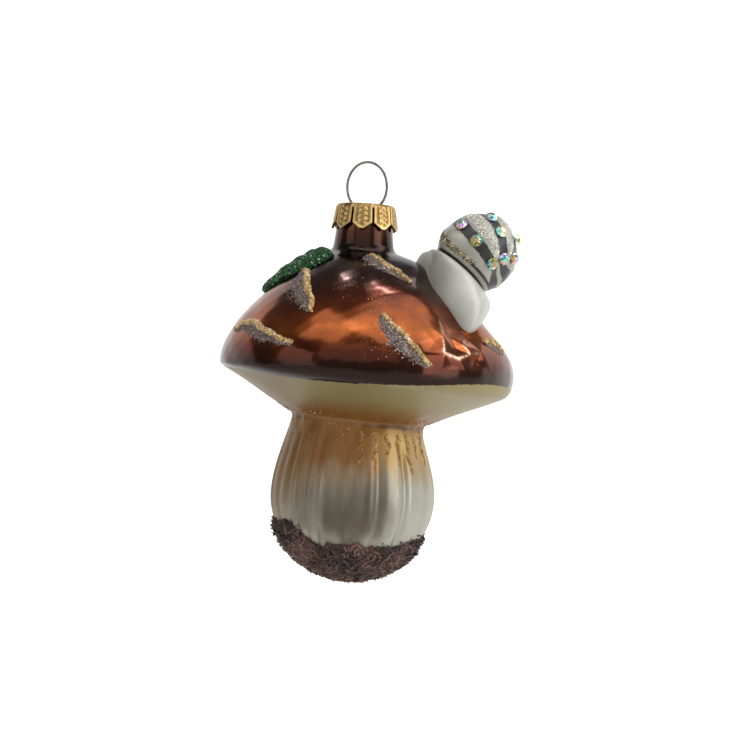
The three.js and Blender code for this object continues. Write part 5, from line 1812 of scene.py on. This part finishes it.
def crack_plate(path, width, peak, reach=0.8, rise=PATCH_HEIGHT):
    """Plate of glue under the grey glitter below a crack's gold edge, and how much glitter it takes."""
    skew = math.log(0.5) / math.log(peak)
    near = GOLD_WIDTH / 2 - PATCH_LAP

    def far(along):
        ragged = 0.3 * np.sin(31 * along) + 0.25 * np.sin(53 * along + 1) + 0.15 * np.sin(97 * along)
        return near + PATCH_END + reach * (width + ragged) * np.sin(np.pi * along ** skew)

    def height(along, across):
        return rise * (smoothstep(across, 1.0, 0.3) - 0.4 * smoothstep(across, 0.7, 1.0))

    steps, columns = PATCH_GRID
    points, faces, top = plate_on_glass(
        "dome", path, steps, columns, lambda along: near + 0 * along, far, height)
    across = np.tile(np.linspace(0, 1, columns + 1), 2 * (steps + 1))
    return points, faces, top * lerp(0.12, 1, smoothstep(across, 1.0, 0.5))


class ORNAMENT_OT_cracks(bpy.types.Operator):
    """Fill the cracks of the cap with grey glitter and draw their gold edges"""

    bl_idname = "ornament.cracks"
    bl_label = "Cracks"

    def execute(self, context):
        """Lays the glue of each patch and edge on the cap and scatters grains over them."""
        look = context.scene.ornament.glitter
        count = len(CRACKS)
        grey = glitter_material("grey glitter", look.grey_shade, look.grey, 0.3)
        gold = glitter_material("gold glitter", look.gold_shade, look.gold, 0.05)
        points, faces, thick = gather([crack_plate(*crack) for crack in CRACKS])
        patches = add_mesh("crack_glitter", points, faces, thick=thick, grain=np.full(len(points), 0.4))
        scatter(
            patches, grey, "grey_glitter", numbered("crack", count), per_mm2=24, size=grain_sizes(look, 0.85),
            seed=SEED_GREY, lift=0.05, tilt=0.5)
        points, faces, thick = gather([crack_plate(*crack, reach=1.12, rise=0.03) for crack in CRACKS])
        stray = add_mesh("crack_dust", points, faces, thick=thick)
        scatter(
            stray, grey, "grey_glitter", per_mm2=10, size=grain_sizes(look, 0.75), seed=SEED_GREY + 1,
            keep_surface=False, tilt=0.3)
        points, faces, top = gather(
            [bead("dome", path, 1.12 * GOLD_WIDTH, 1.35 * GOLD_HEIGHT, 60) for path, _, _ in CRACKS])
        beads = add_mesh("gold_edges", points, faces, thick=top, grain=np.full(len(points), 0.45))
        scatter(
            beads, gold, "gold_glitter", numbered("gold_edge", count), per_mm2=11, seed=SEED_GOLD,
            size=grain_sizes(look, 1.7), lift=0.15, sides=6)
        return {"FINISHED"}


def stem_thickness(angle, share):
    """How thick the dust lies on the stem: most just under the cap, in clumps."""
    clump = 0.5 + 0.5 * np.sin(np.radians(angle) * 9 + 1.5 * np.sin(np.radians(angle) * 4))
    return smoothstep(share, 0.55, 0.02) ** 2 * lerp(0.2, 1, clump ** 3)


def crease_thickness(angle, share):
    """How thick the dust lies under the cap: most in the crease, in clumps."""
    clump = 0.5 + 0.5 * np.sin(np.radians(angle) * 5 + 2.2 * np.sin(np.radians(angle) * 3 + 1))
    return smoothstep(share, 0.78, 1.0) * lerp(0.1, 1, clump ** 2)


def cap_thickness(angle, share):
    """How thick the dust lies on the front of the cap: beside a crack and on the brow."""
    near_crack = np.exp(-((angle + 84) / 8) ** 2 - ((share - 0.75) / 0.16) ** 2)
    near_brow = np.exp(-((angle + 88) / 16) ** 2 - ((share - 0.45) / 0.1) ** 2)
    return near_crack + 0.2 * near_brow


class ORNAMENT_OT_gold_runs(bpy.types.Operator):
    """Let gold glitter run down the top of the stem, with loose dust round it"""

    bl_idname = "ornament.gold_runs"
    bl_label = "Gold runs"

    def execute(self, context):
        """Lays each run on the stem, and scatters dust on the stem, in the crease and on the cap."""
        look = context.scene.ornament.glitter
        angles = [first + RUN_PITCH * i for first, count in RUN_GROUPS for i in range(count)]
        runs = []
        for i, angle in enumerate(angles):
            end = RUN_TOP + RUN_REACH + RUN_RAGGED * math.sin(RUN_BEAT * i)
            middle = (angle + math.sin(i), (RUN_TOP + end) / 2)
            path = [(angle, RUN_TOP), middle, (angle, end)]
            runs.append(bead("stem", path, 1.6 * RUN_WIDTH, 0.3 * RUN_HEIGHT, 30))
        points, faces, top = gather(runs)
        x, z = points[:, 0], points[:, 2]
        clumps = np.sin(1.9 * z + 2.0 * np.sin(0.8 * x)) * np.sin(1.3 * x + z)
        thick = top * lerp(0.25, 1.0, 0.5 + 0.5 * clumps) ** 1.5
        piece = add_mesh("gold_streaks", points, faces, thick=thick)
        gold = glitter_material("gold dust", paint("7a481a"), paint("cf9844"), 0.2)
        scatter(
            piece, gold, "gold_glitter", numbered("gold_run", len(angles)), per_mm2=32,
            size=grain_sizes(look, 0.85), seed=SEED_RUNS, keep_surface=False, tilt=0.4)
        all_round = round_angles(144)
        in_front = np.linspace(-115, -50, 60)
        # Name, stretch, angles, shares, thickness, height over the glass, grains per mm2, their scale, tilt
        sheets = (
            ("stem_dust", "stem", all_round, (0.0, 0.55, 24), stem_thickness, 0.03, 2.8, 0.8, 0.4),
            ("crease_dust", "underside", all_round, (0.72, 1.0, 24), crease_thickness, 0.03, 6.0, 1.0, 0.5),
            ("cap_dust", "dome", in_front, (0.25, 0.95, 40), cap_thickness, 0.02, 2.2, 0.6, 0.8),
        )
        for i, (name, stretch, turns, shares, thickness, height, per_mm2, scale, tilt) in enumerate(sheets):
            angle, share = np.meshgrid(turns, np.linspace(*shares), indexing="xy")
            points = above(stretch, share, angle, np.full_like(angle, height)).reshape(-1, 3)
            faces = grid_faces(*angle.shape, wrap=turns is all_round)
            sheet = add_mesh(name, points, faces, thick=thickness(angle, share))
            scatter(
                sheet, gold, "gold_glitter", per_mm2=per_mm2, size=grain_sizes(look, scale),
                seed=SEED_DUST + i, keep_surface=False, tilt=tilt)
        return {"FINISHED"}


def crust_edge(angle):
    """Height of the crust's upper edge above the bottom."""
    turn = np.radians(angle)
    left = 4.4 * smoothstep(-np.cos(turn), 0.5, 0.85)
    right = 1.8 * smoothstep(np.cos(turn), 0.7, 0.95)
    ragged = 0.3 * np.sin(7 * turn) + 0.28 * np.sin(17 * turn + 1) + 0.22 * np.sin(29 * turn)
    return CRUST_HEIGHT + left + right + ragged


def share_below(height):
    """Share of the foot's outline at a height above the bottom."""
    shares = np.linspace(0, 1, 600)
    heights = bezier(OUTLINE["foot"], shares)[:, 1] - FOOT
    return np.interp(-height, -heights, shares)


class ORNAMENT_OT_soil(bpy.types.Operator):
    """Crust the foot with soil and flakes of bark"""

    bl_idname = "ornament.soil"
    bl_label = "Soil crust"

    def execute(self, context):
        """Builds a lumpy crust with a ragged upper edge and scatters long flakes over and above it."""
        look = context.scene.ornament.soil
        soil = soil_material(look)
        steps = CRUST_STEPS
        angle = round_angles(steps)
        turn = np.radians(angle)
        edge = crust_edge(angle)
        inner, outer = [], []
        for row in range(CRUST_RINGS):
            share = lerp(share_below(edge), 1, row / CRUST_RINGS)
            inner.append(above("foot", share, angle, np.full(steps, -CRUST_SINK)))
            full = lerp(CRUST_EDGE, CRUST_THICKNESS, min(row / 9, 1) ** 0.6)
            lump = 0.22 * np.sin(turn * 23 + 0.9 * row) + 0.18 * np.sin(turn * 41 - 1.7 * row)
            outer.append(above("foot", share, angle, full + lump * (1 - row / CRUST_RINGS) * min(row / 4, 1)))
        points, faces = shell_solid(
            np.array(inner[::-1] + outer), (STEM_OFFSET, 0, FOOT + CRUST_SINK),
            (STEM_OFFSET, 0, FOOT - CRUST_THICKNESS))
        thick = np.concatenate([np.repeat([0, 1], CRUST_RINGS * steps), [0, 1]])
        crust = add_mesh("soil_flakes", points, faces, thick=thick, grain=np.zeros(len(points)))
        size = [share * look.flake_length / MM for share in FLAKE_SHAPE]
        scatter(
            crust, soil, "soil", ["soil_crust"], per_mm2=look.flakes / 100, size=size, seed=SEED_SOIL,
            tilt=0.6, lift=0.4, size_spread=0.6)
        down = np.linspace(0, 1, FRINGE_ROWS)
        rises = lerp(FRINGE_HEIGHT, -1, down)
        rows = [above("foot", share_below(edge + rise), angle, np.full(steps, 0.05)) for rise in rises]
        fringe = add_mesh(
            "soil_fringe", np.array(rows).reshape(-1, 3), grid_faces(FRINGE_ROWS, steps, wrap=True),
            thick=np.repeat(down ** 2, steps))
        scatter(
            fringe, soil, "soil", per_mm2=3, size=size, seed=SEED_SOIL + 1, keep_surface=False, tilt=0.7,
            size_spread=0.6)
        return {"FINISHED"}


def stage_material(look):
    """Pale paper that glows a little for the camera and in reflections, and still takes a shadow."""
    made, tree, shader, where = new_material("backdrop paper")
    tree.nodes.remove(shader)
    rays = flows(tree, tree.nodes.new("ShaderNodeLightPath"))
    mirrored = rays["Is Glossy Ray"].reckon("MAXIMUM", rays["Is Transmission Ray"]) * 0.2
    white = rays["Is Camera Ray"] * fitted(length_of(where), 0.16, 0.34, 0.4, 1.0)
    shade = mixed_colour(look.backdrop, BACKDROP_SHADE, 0.1)
    paper = flow(tree, "ShaderNodeBsdfDiffuse", {"Color": mixed(noise(where, 40.0), look.backdrop, shade)})
    glow = flow(tree, "ShaderNodeEmission", {"Color": WHITE, "Strength": white.reckon("MAXIMUM", mirrored)})
    lit = flow(tree, "ShaderNodeAddShader", {0: paper, 1: glow})
    clear = flow(tree, "ShaderNodeBsdfTransparent")
    back = flow(tree, "ShaderNodeNewGeometry", output="Backfacing")
    surface = flow(tree, "ShaderNodeMixShader", {0: back, 1: lit, 2: clear})
    link(tree.nodes["Material Output"], {"Surface": surface})
    return made


def studio_world():
    """Plain white room: white for the camera, softer for the light that falls on the ornament."""
    world = bpy.data.worlds.new("studio")
    bpy.context.scene.world = world
    world.use_nodes = True
    tree = world.node_tree
    rays = flows(tree, tree.nodes.new("ShaderNodeLightPath"))
    x, y, z = split(flow(tree, "ShaderNodeTexCoord", output="Generated"))
    room = fitted(y, 0.55, 0.85, ROOM_LEVEL, 0.38)
    for axis, start, full, glow in ((z, -0.2, -0.8, 0.25), (y, -0.4, -0.9, 0.34), (x, 0.4, 0.85, 0.4)):
        room = room.reckon("MAXIMUM", fitted(axis, start, full, ROOM_LEVEL, glow))
    plain = rays["Is Camera Ray"].reckon("MAXIMUM", rays["Is Transmission Ray"])
    link(tree.nodes["Background"], {"Color": WHITE, "Strength": plain + (1.0 - plain) * room})


def add_lamp(name, place, width, height, watts):
    """Soft area lamp that looks at the middle of the ornament."""
    lamp = bpy.data.lights.new(name, "AREA")
    lamp.shape = "RECTANGLE"
    lamp.size = width
    lamp.size_y = height
    lamp.energy = watts
    turn = Vector(np.subtract(LAMP_AIM, place)).to_track_quat("-Z", "Y").to_matrix()
    add_object(name, lamp).matrix_world = Matrix.Translation(place) @ turn.to_4x4()


class ORNAMENT_OT_stage(bpy.types.Operator):
    """Set the stage: pale sweep, soft lamps, white room and the camera"""

    bl_idname = "ornament.stage"
    bl_label = "Stage"

    def execute(self, context):
        """Builds the sweep, the lamps, the room and the camera."""
        look = context.scene.ornament.stage
        scene = context.scene
        turns = np.linspace(0, math.pi / 2, 16)
        profile = [(SWEEP_WALL, SWEEP_TOP)]
        profile += [(SWEEP_WALL - SWEEP_BEND + SWEEP_BEND * math.cos(t),
                     SWEEP_FLOOR + SWEEP_BEND - SWEEP_BEND * math.sin(t)) for t in turns]
        profile += [(SWEEP_FRONT, SWEEP_FLOOR)]
        points = [(x, y, z) for y, z in profile for x in (-SWEEP_HALF_WIDTH, SWEEP_HALF_WIDTH)]
        faces = [[2 * i, 2 * i + 1, 2 * i + 3, 2 * i + 2] for i in range(len(profile) - 1)]
        sweep = add_mesh("sweep", points, faces, stage_material(look))
        if sweep.data.polygons[0].normal.y > 0:
            sweep.data.flip_normals()
        studio_world()
        for name, place, width, height, setting in LAMPS:
            add_lamp(name, place, width, height, getattr(look, setting))
        lens = bpy.data.cameras.new("camera")
        lens.lens = CAMERA_LENS
        camera = add_object("camera", lens)
        roll = math.radians(CAMERA_ROLL)
        right, up = (math.cos(roll), 0.0, math.sin(roll)), (-math.sin(roll), 0.0, math.cos(roll))
        camera.matrix_world = frame_matrix((right, up, (0.0, -1.0, 0.0), CAMERA_PLACE))
        scene.camera = camera
        scene.view_settings.view_transform = "Standard"
        return {"FINISHED"}


OPERATORS = (
    ORNAMENT_OT_stage, ORNAMENT_OT_glass, ORNAMENT_OT_crown, ORNAMENT_OT_hanger, ORNAMENT_OT_snail_body,
    ORNAMENT_OT_snail_shell, ORNAMENT_OT_stones, ORNAMENT_OT_leaf, ORNAMENT_OT_cracks, ORNAMENT_OT_gold_runs,
    ORNAMENT_OT_soil,
)


class ORNAMENT_PT_pieces(bpy.types.Panel):
    """Pieces of the ornament, in the order in which they are made"""

    bl_label = "Mushroom ornament"
    bl_idname = "ORNAMENT_PT_pieces"
    bl_space_type = "VIEW_3D"
    bl_region_type = "UI"
    bl_category = "Ornament"

    def draw(self, context):
        """Lists the settings and the operators."""
        for name in LOOKS:
            group = getattr(context.scene.ornament, name)
            box = self.layout.box()
            for key in group.__annotations__:
                box.prop(group, key)
        for operator in OPERATORS:
            self.layout.operator(operator.bl_idname)


CLASSES = (*LOOKS.values(), OrnamentLook, *OPERATORS, ORNAMENT_PT_pieces)


def register():
    """Adds the classes and the settings to Blender."""
    for item in CLASSES:
        bpy.utils.register_class(item)
    bpy.types.Scene.ornament = PointerProperty(type=OrnamentLook)


def unregister():
    """Takes the settings and the classes out of Blender."""
    del bpy.types.Scene.ornament
    for item in reversed(CLASSES):
        bpy.utils.unregister_class(item)


def main():
    """Builds the whole ornament."""
    register()
    for operator in OPERATORS:
        group, name = operator.bl_idname.split(".")
        getattr(getattr(bpy.ops, group), name)()


if __name__ == "__main__":
    main()
